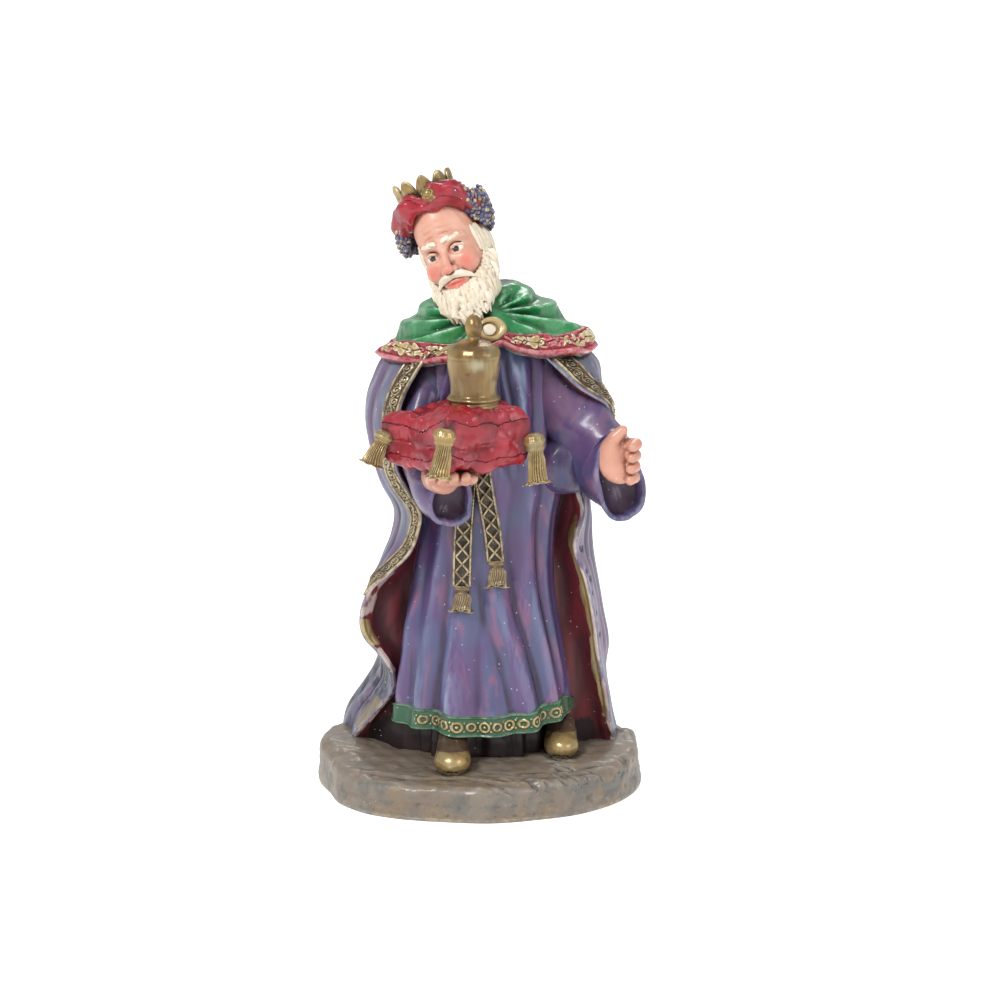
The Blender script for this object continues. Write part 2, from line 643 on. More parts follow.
CRIMSON = Paint((0.34, 0.008, 0.022), (0.22, 0.005, 0.015), (0.45, 0.026, 0.050), (0.76, 0.17, 0.22),
                (0.085, 0.003, 0.008), rough=0.32, lighted=0.36, washed=1.05)
CERISE = Paint((0.46, 0.020, 0.050), (0.34, 0.010, 0.030), (0.54, 0.090, 0.120), (0.84, 0.48, 0.46),
               (0.090, 0.004, 0.010), rough=0.30, lighted=0.45, washed=1.1)
GOLD = Paint((0.34, 0.225, 0.075), (0.25, 0.165, 0.060), (0.44, 0.34, 0.15), (0.78, 0.66, 0.38),
             (0.040, 0.024, 0.011), metal=0.6, rough=0.34, washed=1.3, lighted=0.65)
CREAM_GOLD = Paint((0.56, 0.41, 0.18), (0.44, 0.31, 0.12), (0.66, 0.54, 0.31), (0.92, 0.86, 0.66),
                   (0.120, 0.070, 0.025), metal=0.3, rough=0.32, washed=1.1, lighted=0.7)
AGED_GOLD = Paint((0.24, 0.165, 0.074), (0.17, 0.115, 0.060), (0.32, 0.235, 0.120), (0.70, 0.60, 0.38),
                  (0.026, 0.016, 0.010), metal=0.45, rough=0.36, washed=1.35, lighted=0.7)
BRASS = Paint((0.42, 0.285, 0.100), (0.31, 0.205, 0.080), (0.36, 0.33, 0.19), (0.74, 0.60, 0.32),
              (0.070, 0.038, 0.014), metal=0.5, rough=0.33, lighted=0.6, washed=1.2)
BRONZE = Paint((0.40, 0.270, 0.095), (0.20, 0.120, 0.045), (0.34, 0.300, 0.160), (0.74, 0.60, 0.32),
               (0.055, 0.030, 0.012), metal=0.6, rough=0.33, lighted=0.55, washed=1.2)
FLESH = Paint((0.68, 0.355, 0.255), (0.74, 0.42, 0.31), (0.66, 0.29, 0.21), (0.88, 0.60, 0.48),
              (0.28, 0.09, 0.055), rough=0.38, lighted=0.45, washed=1.0, patched=0.6)
HAND_FLESH = Paint((0.62, 0.295, 0.205), (0.68, 0.34, 0.24), (0.62, 0.25, 0.16), (0.80, 0.48, 0.36),
                   (0.25, 0.07, 0.04), rough=0.40, lighted=0.35, washed=0.9, patched=0.4)
ROSE = Paint((0.70, 0.16, 0.12), (0.70, 0.16, 0.12), (0.70, 0.19, 0.14), (0.82, 0.36, 0.30),
             (0.32, 0.06, 0.04), rough=0.4)
IVORY = Paint((0.74, 0.64, 0.48), (0.82, 0.74, 0.60), (0.68, 0.56, 0.39), (0.96, 0.92, 0.82),
              (0.34, 0.23, 0.13), rough=0.5, washed=1.05)
STONE = Paint((0.200, 0.154, 0.112), (0.225, 0.185, 0.145), (0.145, 0.132, 0.115), (0.42, 0.37, 0.31),
              (0.032, 0.026, 0.022), rough=0.5, lighted=0.4)
SLATE = Paint((0.150, 0.138, 0.116), (0.175, 0.158, 0.132), (0.120, 0.112, 0.098), (0.34, 0.32, 0.28),
              (0.030, 0.025, 0.022), rough=0.5)
OCHRE = Paint((0.225, 0.165, 0.102), (0.215, 0.168, 0.120), (0.180, 0.130, 0.085), (0.42, 0.35, 0.25),
              (0.035, 0.027, 0.020), rough=0.5)
SMOKE = Paint((0.035, 0.036, 0.055), (0.050, 0.050, 0.070), (0.030, 0.030, 0.045), (0.16, 0.17, 0.22),
              (0.008, 0.008, 0.012), rough=0.36)
SHELL = Paint((0.50, 0.37, 0.34), (0.42, 0.29, 0.29), (0.56, 0.46, 0.40), (0.76, 0.68, 0.62),
              (0.10, 0.05, 0.05), rough=0.38)
PATINA = Paint((0.34, 0.38, 0.28), (0.40, 0.36, 0.22), (0.30, 0.38, 0.32), (0.70, 0.66, 0.46),
               (0.09, 0.08, 0.04), metal=0.3, rough=0.36)
UMBER = Paint((0.085, 0.050, 0.028), (0.070, 0.042, 0.025), (0.120, 0.075, 0.040), (0.30, 0.22, 0.13),
              (0.015, 0.009, 0.006), rough=0.4)


def painted(name, first, *layers, stretch=(1, 1, 1), ridge=0.12, bump=0.2, grain=0.35, glints=1.0, coat=0.35,
            edges=(0.38, 0.62)):
    """A material of one paint all over, and others brushed on where their masks say."""
    n = Nodes(name)
    relief, crevice = n.attribute("relief"), n.attribute("crevice")
    brush = n.noise(1.6, 4.0, stretch, 0.6, 0.4)
    fine = n.noise(grain, 3.0)
    broad = n.noise(7.0, 3.0, stretch, 0.55, 0.8)
    other = n.noise(4.6, 3.0, stretch, 0.55, 1.1)
    middle = n.noise(2.6, 3.0, stretch, 0.6, 0.5)
    high = n.math("MULTIPLY", n.span(relief, 0.10 * ridge, 1.1 * ridge), n.span(brush, 0.35, 0.60))
    low = n.span(relief, -0.08 * ridge, -1.0 * ridge)
    shut = n.span(crevice, 0.30, 0.80)
    wash = n.math("MAXIMUM", n.math("MULTIPLY", low, 0.9), shut)
    wash = n.math("MULTIPLY", wash, n.span(middle, 0.15, 0.6, 0.6, 1.0))

    def brushed(paint):
        colour = n.mix(n.span(broad, 0.40, 0.60), paint.tone, paint.second)
        colour = n.mix(n.math("MULTIPLY", n.span(other, 0.50, 0.64), paint.patched), colour, paint.patch)
        colour = n.mix(n.math("MULTIPLY", high, paint.lighted), colour, paint.light)
        share = n.math("MULTIPLY", wash, 0.92 * paint.washed, True)
        colour = n.mix(share, colour, paint.wash)
        metal = n.math("MULTIPLY", n.math("SUBTRACT", 1.0, share), paint.metal)
        rough = n.span(middle, 0.3, 0.7, paint.rough - 0.07, paint.rough + 0.10)
        rough = n.math("ADD", rough, n.math("MULTIPLY", share, 0.2))
        return colour, metal, rough

    colour, metal, rough = brushed(first)
    for mask, paint in layers:
        edge = n.math("ADD", n.attribute(mask), n.span(brush, 0.3, 0.7, -0.16, 0.16))
        share = n.span(edge, *edges)
        over = brushed(paint)
        colour = n.mix(share, colour, over[0])
        metal = n.mix_value(share, metal, over[1])
        rough = n.mix_value(share, rough, over[2])
    if glints:
        distance, cell = n.speck(1.1)
        split = n.tree.nodes.new("ShaderNodeSeparateColor")
        n.link(cell, split.inputs[0])
        rare = n.math("GREATER_THAN", split.outputs[0], 0.80)
        dot = n.math("MULTIPLY", n.span(distance, 0.13, 0.08), rare)
        dot = n.math("MULTIPLY", dot, 0.55 * glints)
        colour = n.mix(dot, colour, (0.85, 0.86, 0.9))
    n.link(colour, n.shader.inputs["Base Color"])
    n.link(metal, n.shader.inputs["Metallic"])
    n.link(rough, n.shader.inputs["Roughness"])
    n.shader.inputs["Coat Weight"].default_value = coat
    n.shader.inputs["Coat Roughness"].default_value = 0.16
    height = n.math("ADD", n.math("MULTIPLY", brush, 0.6), n.math("MULTIPLY", fine, 0.5))
    node = n.tree.nodes.new("ShaderNodeBump")
    node.inputs["Strength"].default_value = bump
    node.inputs["Distance"].default_value = 0.00012
    n.link(height, node.inputs["Height"])
    n.link(node.outputs["Normal"], n.shader.inputs["Normal"])
    return n.material


# The rock

def ground_relief(x, y):
    boulder = 1.5 * smooth_step(-15, -24, x) * smooth_step(-9, 2, y)
    shelf = 0.7 * smooth_step(5, 14, x) * smooth_step(-17, -9, y)
    knob = 0.9 * np.exp(-((x - 27) ** 2 + (y - 6) ** 2) / 7)
    step = -0.55 * smooth_step(-21.5, -22.5, y + 0.2 * x + 0.9 * np.sin(0.4 * x))
    groove = -0.5 * np.exp(-((y + 20.5 - 0.3 * (x - 8)) ** 2) / 0.7) * smooth_step(1, 6, x)
    second = -0.45 * np.exp(-((y + 16.5 - 0.3 * (x - 12)) ** 2) / 0.6) * smooth_step(4, 9, x)
    return boulder + shelf + knob + step + groove + second + 0.16 * ripple(0.9 * x, 1.1 * y, 0 * x)


def make_rock():
    around = np.linspace(-math.pi, math.pi, 700, endpoint=False)
    outline = through(BASE_OUTLINE, np.degrees(around))[..., 0] + 0.004 * np.sin(11 * around + 1.0)
    rim = BASE_THICK - BASE_EDGE_ROUND
    rows = [(0.0, share) for share in np.linspace(0.30, 0.93, 8)] + [(0.0, 0.985), (0.15, 0.993)]
    rows += [(rim * t, 0.995 + 0.010 * math.sin(math.pi * min(t / 0.6, 1)) - 0.005 * smooth_step(0.7, 1, t))
             for t in np.linspace(0.08, 1, 22)]
    rows += [(rim + BASE_EDGE_ROUND * math.sin(t), 0.99 - BASE_EDGE_ROUND / 30 * (1 - math.cos(t)))
             for t in np.linspace(0.15, math.pi / 2, 10)]
    edge = rows[-1][1]
    rows += [(BASE_THICK, edge * (1 - t)) for t in np.linspace(0.012, 0.98, 84)]
    points, strokes = [], []
    for height, share in rows:
        x = BASE_WIDTH / 2 * share * outline * np.sin(around)
        y = -BASE_DEPTH / 2 * share * outline * np.cos(around)
        up = smooth_step(0.3 * rim, BASE_THICK, height)
        z = np.full_like(x, height)
        flat = np.stack([x, y, z], axis=-1)
        coarse = lumps(flat * (1, 1, 1.6), 6.5, 3, 3)
        slate = np.abs(lumps(np.stack([0.35 * x + 0.9 * y, 0.16 * (x - 0.4 * y), z], axis=-1), 2.2, 3, 9))
        chipped = smooth_step(2, 12, x - 0.2 * y) * smooth_step(-8, -14, y - 0.15 * x)
        top = ground_relief(x, y) * up + up * (0.24 * coarse + 0.09 * lumps(flat, 1.6, 3, 5))
        top -= up * (0.55 * smooth_step(0.22, 0.02, slate) * (0.15 + 0.85 * chipped))
        side = smooth_step(0.05, 1.2, height) * (1 - up) + 0.35 * up * (share > 0.9)
        out = side * (0.40 * lumps(flat * (1, 1, 0.7), 5.0, 2, 21) + 0.16 * lumps(flat, 1.3, 3, 23) - 0.15)
        x, y = x + out * np.sin(around), y - out * np.cos(around)
        points.append(np.stack([x, y, z - GROUND + top], axis=-1))
        strokes.append(up * smooth_step(0.30, 0.05, slate) * (0.15 + 0.85 * chipped))
    form = Form()
    points = np.array(points)
    side = points[..., 2] < -1.0
    patch = smooth_step(-0.1, 0.4, lumps(points, 6.0, 3, 31)) * side
    patch = np.maximum(patch, 0.7 * smooth_step(0.0, 0.5, lumps(points, 8.0, 2, 33)) * ~side)
    shade = np.maximum(smooth_step(0.1, 0.6, lumps(points, 4.0, 3, 35)) * side, 0.9 * np.array(strokes))
    form.grid(points, around=True, caps=True, ochre=patch, shade=shade)
    stone = painted("rock_paint", STONE, ("ochre", OCHRE), ("shade", SLATE), ridge=0.16, bump=0.45,
                    grain=0.5, glints=0.5, edges=(0.1, 0.9))
    piece("rock", form, stone)


# The robe with its banded hem

def body_ring(form, angles):
    centre_x, centre_y, half_wide, half_deep = np.moveaxis(np.asarray(form), -1, 0)
    return centre_x + half_wide * np.sin(angles), centre_y - half_deep * np.cos(angles)


def robe_offset(angles, height):
    to_waist = smooth_step(5, 46, height)
    offset = np.zeros_like(angles + height)
    for at_hem, at_waist, wide, tall, tall_waist in ROBE_FOLDS:
        middle = at_hem + (at_waist - at_hem) * to_waist
        away = np.abs(angles - middle) / wide
        form = np.exp(-(away**2)) - 0.3 * np.exp(-((away - 1.7) ** 2) / 0.4)
        offset += (tall + (tall_waist - tall) * to_waist) * form
    knee = ((height - KNEE_PLACE[0]) / 4.5) ** 2 + ((angles - KNEE_PLACE[1]) / 0.22) ** 2
    offset += KNEE_RAISED * np.exp(-knee)
    on_chest = smooth_step(50, 58, height) * smooth_step(80, 74, height)
    for middle, wide in CHEST_GATHERS:
        leaning = middle * (1 - 0.25 * smooth_step(62, 76, height))
        offset += 0.6 * on_chest * np.exp(-(((angles - leaning) / wide) ** 2))
    return offset - 0.35


def robe_point(angles, height, outset=0.0, soft=1.0):
    x, y = body_ring(through(ROBE_FORM, height), angles)
    out = robe_offset(angles, height) * smooth_step(80, 70, height)
    at = np.stack([x, y, 0.30 * height + 0 * x], axis=-1)
    out = out + soft * (0.34 * lump(at, 4.5, 2) + 0.15 * lump(at, 2.0, 4)) + outset
    return np.stack([x + out * np.sin(angles), y - out * np.cos(angles), height + 0 * x], axis=-1)


def make_robe():
    angles = np.linspace(-2.0, 2.0, 300)
    hem = through(ROBE_HEM, angles)[..., 0]
    inside = ((3.0, -UNDERSKIRT_SET_BACK + 0.2), (1.6, -3.6), (1.0, -1.7), (0.6, -1.1))
    rows = [robe_point(angles, hem + up, out) for up, out in inside]
    rows += [robe_point(angles, hem + up, -0.1) for up in (0.45, 0.7, 1.2, 2.5, HEM_BAND_TALL)]
    rows += [robe_point(angles, hem + (ROBE_TOP - hem) * share) for share in np.linspace(0.055, 1, 290)]
    front = np.array(rows)
    back = 0.5 * (front[:, -1] + front[:, 0]) + (0, 3, 0)
    form = Form()
    whole = np.concatenate([front, back[:, None]], axis=1)
    turn, high = np.append(angles, math.pi)[None], whole[..., 2]
    streak = np.exp(-(((turn - 0.50 + 0.002 * (high - 68)) / 0.13) ** 2)) * smooth_step(50, 58, high)
    low_streak = np.exp(-(((turn + 0.42 - 0.001 * high) / 0.09) ** 2)) * smooth_step(46, 30, high)
    azure = np.maximum(streak, 0.9 * low_streak) * (0.75 + 0.5 * lump(whole * (1, 1, 0.4), 2.6, 8))
    form.grid(whole, around=True, caps=True, azure=azure)
    around = np.linspace(-math.pi, math.pi, 120, endpoint=False)
    heights = np.linspace(-1.0, 12.0, 26)
    core = [robe_point(around, np.full(120, height), -UNDERSKIRT_SET_BACK, 1.5) for height in heights]
    form.grid(np.array(core), around=True, caps=True, under=1.0)
    violet = painted("robe_paint", VIOLET, ("azure", AZURE), ("under", MAROON), stretch=(1, 1, 0.3),
                     ridge=0.15, edges=(0.25, 0.85))
    piece("robe", form, violet, blur=40)

    angles = np.linspace(-1.8, 1.75, 700)
    hem = through(ROBE_HEM, angles)[..., 0]
    ups = np.linspace(0, HEM_BAND_TALL, 46)
    along = (angles[None] - 0.02) / RING_PITCH
    beside = (along - np.round(along)) * RING_PITCH * 16.6
    high = ups[:, None] - 0.5 * HEM_BAND_TALL
    stamped = smooth_step(-0.78, -0.72, angles) * smooth_step(1.02, 0.95, angles)
    every = np.abs(np.round(along)) % 2
    radius = np.where(every == 0, 0.80, 0.66)
    from_middle = np.sqrt(beside**2 + high**2)
    ring = np.exp(-(((from_middle - radius) / 0.20) ** 2))
    dot = np.exp(-((from_middle / 0.24) ** 2))
    half = (along + 0.5 - np.round(along + 0.5)) * RING_PITCH * 16.6
    small = np.exp(-((np.sqrt(half**2 + (np.abs(high) - 0.75) ** 2) / 0.2) ** 2))
    gilt = np.clip(1.5 * ring + 1.4 * dot * (every == 0) + 0.9 * small, 0, 1) * stamped
    border = np.exp(-(((np.abs(high) - 0.5 * HEM_BAND_TALL + 0.28) / 0.20) ** 2))
    raised = 0.30 + 0.24 * gilt + 0.16 * border
    edge = smooth_step(0, 0.25, ups) * smooth_step(HEM_BAND_TALL, HEM_BAND_TALL - 0.25, ups)
    taper = 1 - 0.6 * smooth_step(1.05, 1.55, np.abs(angles + 0.02))
    front = [robe_point(angles, hem + up * taper, raised[i] * edge[i] - 0.15 * (1 - edge[i]))
             for i, up in enumerate(ups)]
    rear = [robe_point(angles, hem + up * taper, -0.55) for up in (ups[-1], 0.5 * ups[-1], 0.0)]
    form = Form()
    gilt = np.concatenate([gilt, np.zeros((3, len(angles)))])
    around = np.swapaxes(np.array(front + rear), 0, 1)
    form.grid(around, around=True, caps=True, gilt=gilt.T)
    piece("hem_band", form, painted("hem_band_paint", HEM_GREEN, ("gilt", GOLD), ridge=0.05), blur=10)


# The cloak, its lining and its trim

def cloak_knots(heights):
    columns = (CLOAK_LEFT_EDGE, CLOAK_LEFT_SIDE, CLOAK_BACK_LEFT, CLOAK_BACK, CLOAK_BACK_RIGHT,
               CLOAK_RIGHT_SIDE, CLOAK_RIGHT_EDGE)
    return np.stack([through(column, heights) for column in columns])


def cloak_line(heights, count):
    """Outer line of the cloak at each height, from its left free edge round the back to its right one."""
    knots = cloak_knots(heights)
    share = np.linspace(0, 1, count)
    flat = knots.reshape(len(knots), -1)
    line = through(np.column_stack([np.linspace(0, 1, len(knots)), flat]),
                   share).reshape(count, len(heights), 2)
    line = np.moveaxis(line, 0, 1)
    way = np.gradient(line, axis=1)
    normal = unit(np.stack([-way[..., 1], way[..., 0]], axis=-1))
    h = heights[:, None]
    swing = 0.35 * np.sin(0.05 * h)
    behind = smooth_step(0.14, 0.26, share) * smooth_step(0.92, 0.8, share)
    wave = CLOAK_FOLD_DEEP * (1 - 0.6 * smooth_step(5, 60, h)) * behind
    wave = wave * np.sin(TAU * CLOAK_FOLDS * (share + 0.04 * np.sin(9 * share)) + swing * 6)
    sides = smooth_step(0.055, 0.11, share) * smooth_step(0.30, 0.2, share)
    sides = sides + smooth_step(0.70, 0.80, share) * smooth_step(0.965, 0.91, share)
    hang = np.sin(TAU * 21 * share + 0.05 * h + 1.3 * np.sin(0.09 * h))
    crisp = 0.16 * sides * hang * smooth_step(-2, 14, h)
    at = np.concatenate([line, np.broadcast_to(0.28 * h[..., None], (*line.shape[:2], 1))], axis=-1)
    soft = 0.26 * lump(at, 4.2, 12) + 0.12 * lump(at, 1.9, 14)
    return (line + normal
            * (wave + crisp + soft * smooth_step(0, 0.04, share) * smooth_step(1, 0.96, share))[..., None])


def make_cloak():
    heights = np.linspace(CLOAK_BOTTOM, CLOAK_TOP, 288)
    line = cloak_line(heights, 264)
    form_at = through(ROBE_FORM, heights)
    rows, lining, gilt, pale, brown = [], [], [], [], []
    reach = np.linspace(0, 1, 26)[1:]
    for i, height in enumerate(heights):
        outer = line[i]
        walls, golden, light = [], [], []
        for edge, inner, side in ((outer[-1], outer[-2], 1), (outer[0], outer[1], -1)):
            meet = np.array([form_at[i, 0] + side * LINING_REACH * form_at[i, 2], form_at[i, 1] - 2.5])
            inward = unit(meet - edge)
            rim = edge + inward * CLOAK_EDGE_THICK + (0, 0.4)
            tip = edge + inward * 0.5 * CLOAK_EDGE_THICK + unit(edge - inner) * 0.35
            creases = 0.30 * np.sin(9 * reach + 0.11 * height) * np.sin(0.23 * height + side)
            sag = LINING_HOLLOW * 4 * reach * (1 - reach) + creases
            push = np.stack([0 * sag, sag * smooth_step(0, 0.2, reach)], axis=-1)
            wall = rim + (meet - rim) * reach[:, None] + push
            walls.append(np.concatenate([[tip], [rim], wall]))
            away = np.concatenate([[-0.6, 0.0], reach * np.linalg.norm(meet - rim)])
            ragged = 0.30 * np.sin(0.45 * height + side) + 0.12 * np.sin(1.3 * height)
            if side > 0:
                here = smooth_step(47, 41, height) * smooth_step(4, 8, height)
                golden.append(here * smooth_step(1.2, 0.6, away - ragged) * (away > -0.3))
                light.append(smooth_step(56, 50, height) * smooth_step(0.3, -0.3, away))
            else:
                here = smooth_step(26.5, 25.2, height) * smooth_step(20.0, 21.0, height)
                golden.append(here * smooth_step(1.3, 0.8, away))
                turned = smooth_step(36, 34, height) * smooth_step(25.5, 27, height)
                light.append(turned * smooth_step(2.2, 1.2, away)
                             + smooth_step(21, 19, height) * (away < 0.3))
        ring = np.concatenate([outer, walls[0], walls[1][::-1]])
        rows.append(np.column_stack([ring, np.full(len(ring), height)]))
        wall_mask = np.concatenate([[0.3, 0.7], np.ones(len(reach))])
        lining.append(np.concatenate([np.zeros(len(outer)), wall_mask, wall_mask[::-1]]))
        low_patch = (smooth_step(10.2, 9.0, height) * smooth_step(3.0, 4.5, height)
                     * (np.arange(len(outer)) < 24))
        gilt.append(np.concatenate([0 * low_patch, golden[0], golden[1][::-1]]))
        brown.append(np.concatenate([0.9 * low_patch, 0 * golden[0], 0 * golden[1]]))
        pale.append(np.concatenate([np.zeros(len(outer)), light[0], light[1][::-1]]))
    points = np.array(rows)
    gilt = np.array(gilt) * (0.85 + 0.4 * lump(points, 2.0, 40))
    pale = np.array(pale) * (0.8 + 0.5 * lump(points, 2.4, 43))
    ochre = np.array(brown) * (0.95 + 0.4 * lump(points, 1.6, 47))
    outside = 1 - np.minimum(np.array(lining), 1)
    corner = smooth_step(21, 16, points[..., 2]) * smooth_step(-14.5, -17.5, points[..., 0]) * outside
    smoke = smooth_step(0.0, 0.45, lump(points, 1.3, 45)) * smooth_step(17.5, 15, points[..., 2])
    smoke = np.maximum(smoke * smooth_step(9.5, 11.5, points[..., 2]), 0.48) * corner
    under = (smooth_step(8, 3, points[..., 2]) * smooth_step(22.5, 19.5, np.abs(points[..., 0]))
             * np.array(lining))
    for height, place in CLOAK_DENTS:
        row = int(np.argmin(np.abs(heights - height)))
        spot = line[row, int(place * 263)]
        away = np.hypot(np.hypot(points[..., 0] - spot[0], points[..., 1] - spot[1]), points[..., 2] - height)
        mark = np.exp(-(((away - 0.55) / 0.30) ** 2)) * outside * (points[..., 2] < height + 0.25)
        smoke = np.maximum(smoke, mark)
        points[..., 0] -= 0.22 * mark
    form = Form()
    form.grid(points, around=True, caps=True, lining=np.array(lining), gilt=gilt, pale=pale, smoke=smoke,
              under=under, ochre=ochre)
    paint = painted("cloak_paint", MAUVE, ("lining", BURGUNDY), ("under", MAROON), ("smoke", SMOKE),
                    ("ochre", OCHRE), ("pale", SHELL), ("gilt", GOLD), stretch=(1, 1, 0.3), ridge=0.15,
                    coat=0.18)
    piece("cloak", form, paint, blur=34)


def scrollwork(s, t, wide):
    """Height from 0 to 1 of a stamped vine between two plain borders, over length s and width t in mm."""
    middle = 0.5 * wide
    border = np.exp(-(((np.abs(t - middle) - middle + 0.32) / 0.17) ** 2))
    phase = TAU * s / 4.6
    vine = np.exp(-(((t - middle - 0.55 * np.sin(phase)) / 0.17) ** 2))
    high = vine
    for shift, side in ((0.25, -1), (0.75, 1)):
        along = ((s / 4.6 - shift + 0.5) % 1 - 0.5) * 4.6
        across = t - middle - 0.28 * side
        r = np.sqrt(along**2 + across**2)
        swirl = np.abs((np.arctan2(across, along) / TAU + r / 0.62) % 1 - 0.5) * 2
        high = np.maximum(high, smooth_step(0.42, 0.62, swirl) * smooth_step(1.05, 0.9, r))
    for shift in (0.0, 0.5):
        along = ((s / 4.6 - shift + 0.5) % 1 - 0.5) * 4.6
        high = np.maximum(high, np.exp(-((along**2 + (np.abs(t - middle) - 0.72) ** 2) / 0.05)))
    return np.maximum(high * smooth_step(0.42, 0.6, t) * smooth_step(wide - 0.42, wide - 0.6, t), border)


def trim_strip(low, high, right, wide, start=0.0):
    """The embroidered band on the cloak's outside, along one free edge between two heights."""
    heights = np.linspace(low, high, 620)
    line = cloak_line(heights, 264)
    if right:
        line = line[:, ::-1]
    edge = np.column_stack([line[:, 0], heights])
    steps = np.linalg.norm(np.gradient(edge, axis=0), axis=1)
    s = np.cumsum(steps)
    slant = np.clip(steps / np.abs(np.gradient(heights)), 1, 2.3)
    slant = np.convolve(np.pad(slant, 20, mode="edge"), np.ones(41) / 41, mode="valid")
    narrow = smooth_step(low - 0.5, low + 3.5, heights)
    front, rear = [], []
    for i in range(len(heights)):
        t = np.linspace(0, wide, 30) * (0.25 + 0.75 * narrow[i])
        length = np.concatenate([[0], np.cumsum(np.linalg.norm(np.diff(line[i], axis=0), axis=1))])
        at = (start + t) * slant[i]
        xy = np.stack([np.interp(at, length, line[i, :, k]) for k in range(2)], axis=-1)
        way = unit(np.stack([np.interp(at + 0.3, length, line[i, :, k]) for k in range(2)], axis=-1) - xy)
        side = 1 if right else -1
        normal = np.stack([way[:, 1], -way[:, 0]], axis=-1) * side
        flat = np.linspace(0, wide, 30)
        out = 0.20 + 0.34 * scrollwork(s[i], flat, wide)
        out = out * smooth_step(-0.01, 0.22, flat) * smooth_step(wide + 0.01, wide - 0.22, flat) - 0.05
        front.append(np.column_stack([xy + normal * out[:, None], np.full(len(t), heights[i])]))
        rear.append(np.column_stack([xy - normal * 0.45, np.full(len(t), heights[i])])[::-6])
    return np.concatenate([np.array(front), np.array(rear)], axis=1)


def make_trims():
    form = Form()
    form.grid(trim_strip(30.5, 75.0, False, 4.1), around=True, caps=True)
    form.grid(trim_strip(58.0, 75.0, True, 4.0, 0.9), around=True, caps=True)
    piece("cloak_trim", form, painted("trim_gold", AGED_GOLD, ridge=0.05, grain=0.25), blur=10)


# The cape with its hem and brooch

def cape_point(angles, down, outset=0.0, fine=1.0):
    neck, fall = np.array(CAPE_NECK), np.array(CAPE_FALL)
    down = down + 0 * angles
    x, y = body_ring(neck + (fall - neck) * down[..., None], angles)
    hem = through(CAPE_HEM, angles)[..., 0]
    collar = CAPE_NECK_HEIGHT + CAPE_NECK_TILT * np.sin(angles)
    height = collar + (hem - collar) * down**CAPE_SHOULDER
    side = angles - 0.15
    from_brooch = np.arctan2(2.2 * (down - 0.42), np.abs(side) + 0.05)
    reach = smooth_step(0.1, 0.5, np.abs(side)) * smooth_step(2.6, 1.2, np.abs(angles))
    phase = CAPE_FOLDS * from_brooch + 0.8 * np.sign(angles)
    sharp = np.sin(phase + 0.35 * np.sin(phase))
    rear = smooth_step(1.5, 2.3, np.abs(angles)) * 0.45 * np.sin(9 * angles + 1.5 * down)
    at = np.stack([0.8 * x, 0.8 * y, 0.6 * height], axis=-1)
    soft = 0.22 * lump(at, 2.4, 51) + 0.10 * lump(at, 1.1, 53)
    out = (CAPE_FOLD_DEEP * sharp * reach + rear) * smooth_step(0.05, 0.3, down) + fine * soft + outset
    return np.stack([x + out * np.sin(angles), y - out * np.cos(angles), height + 0.5 * out], axis=-1)


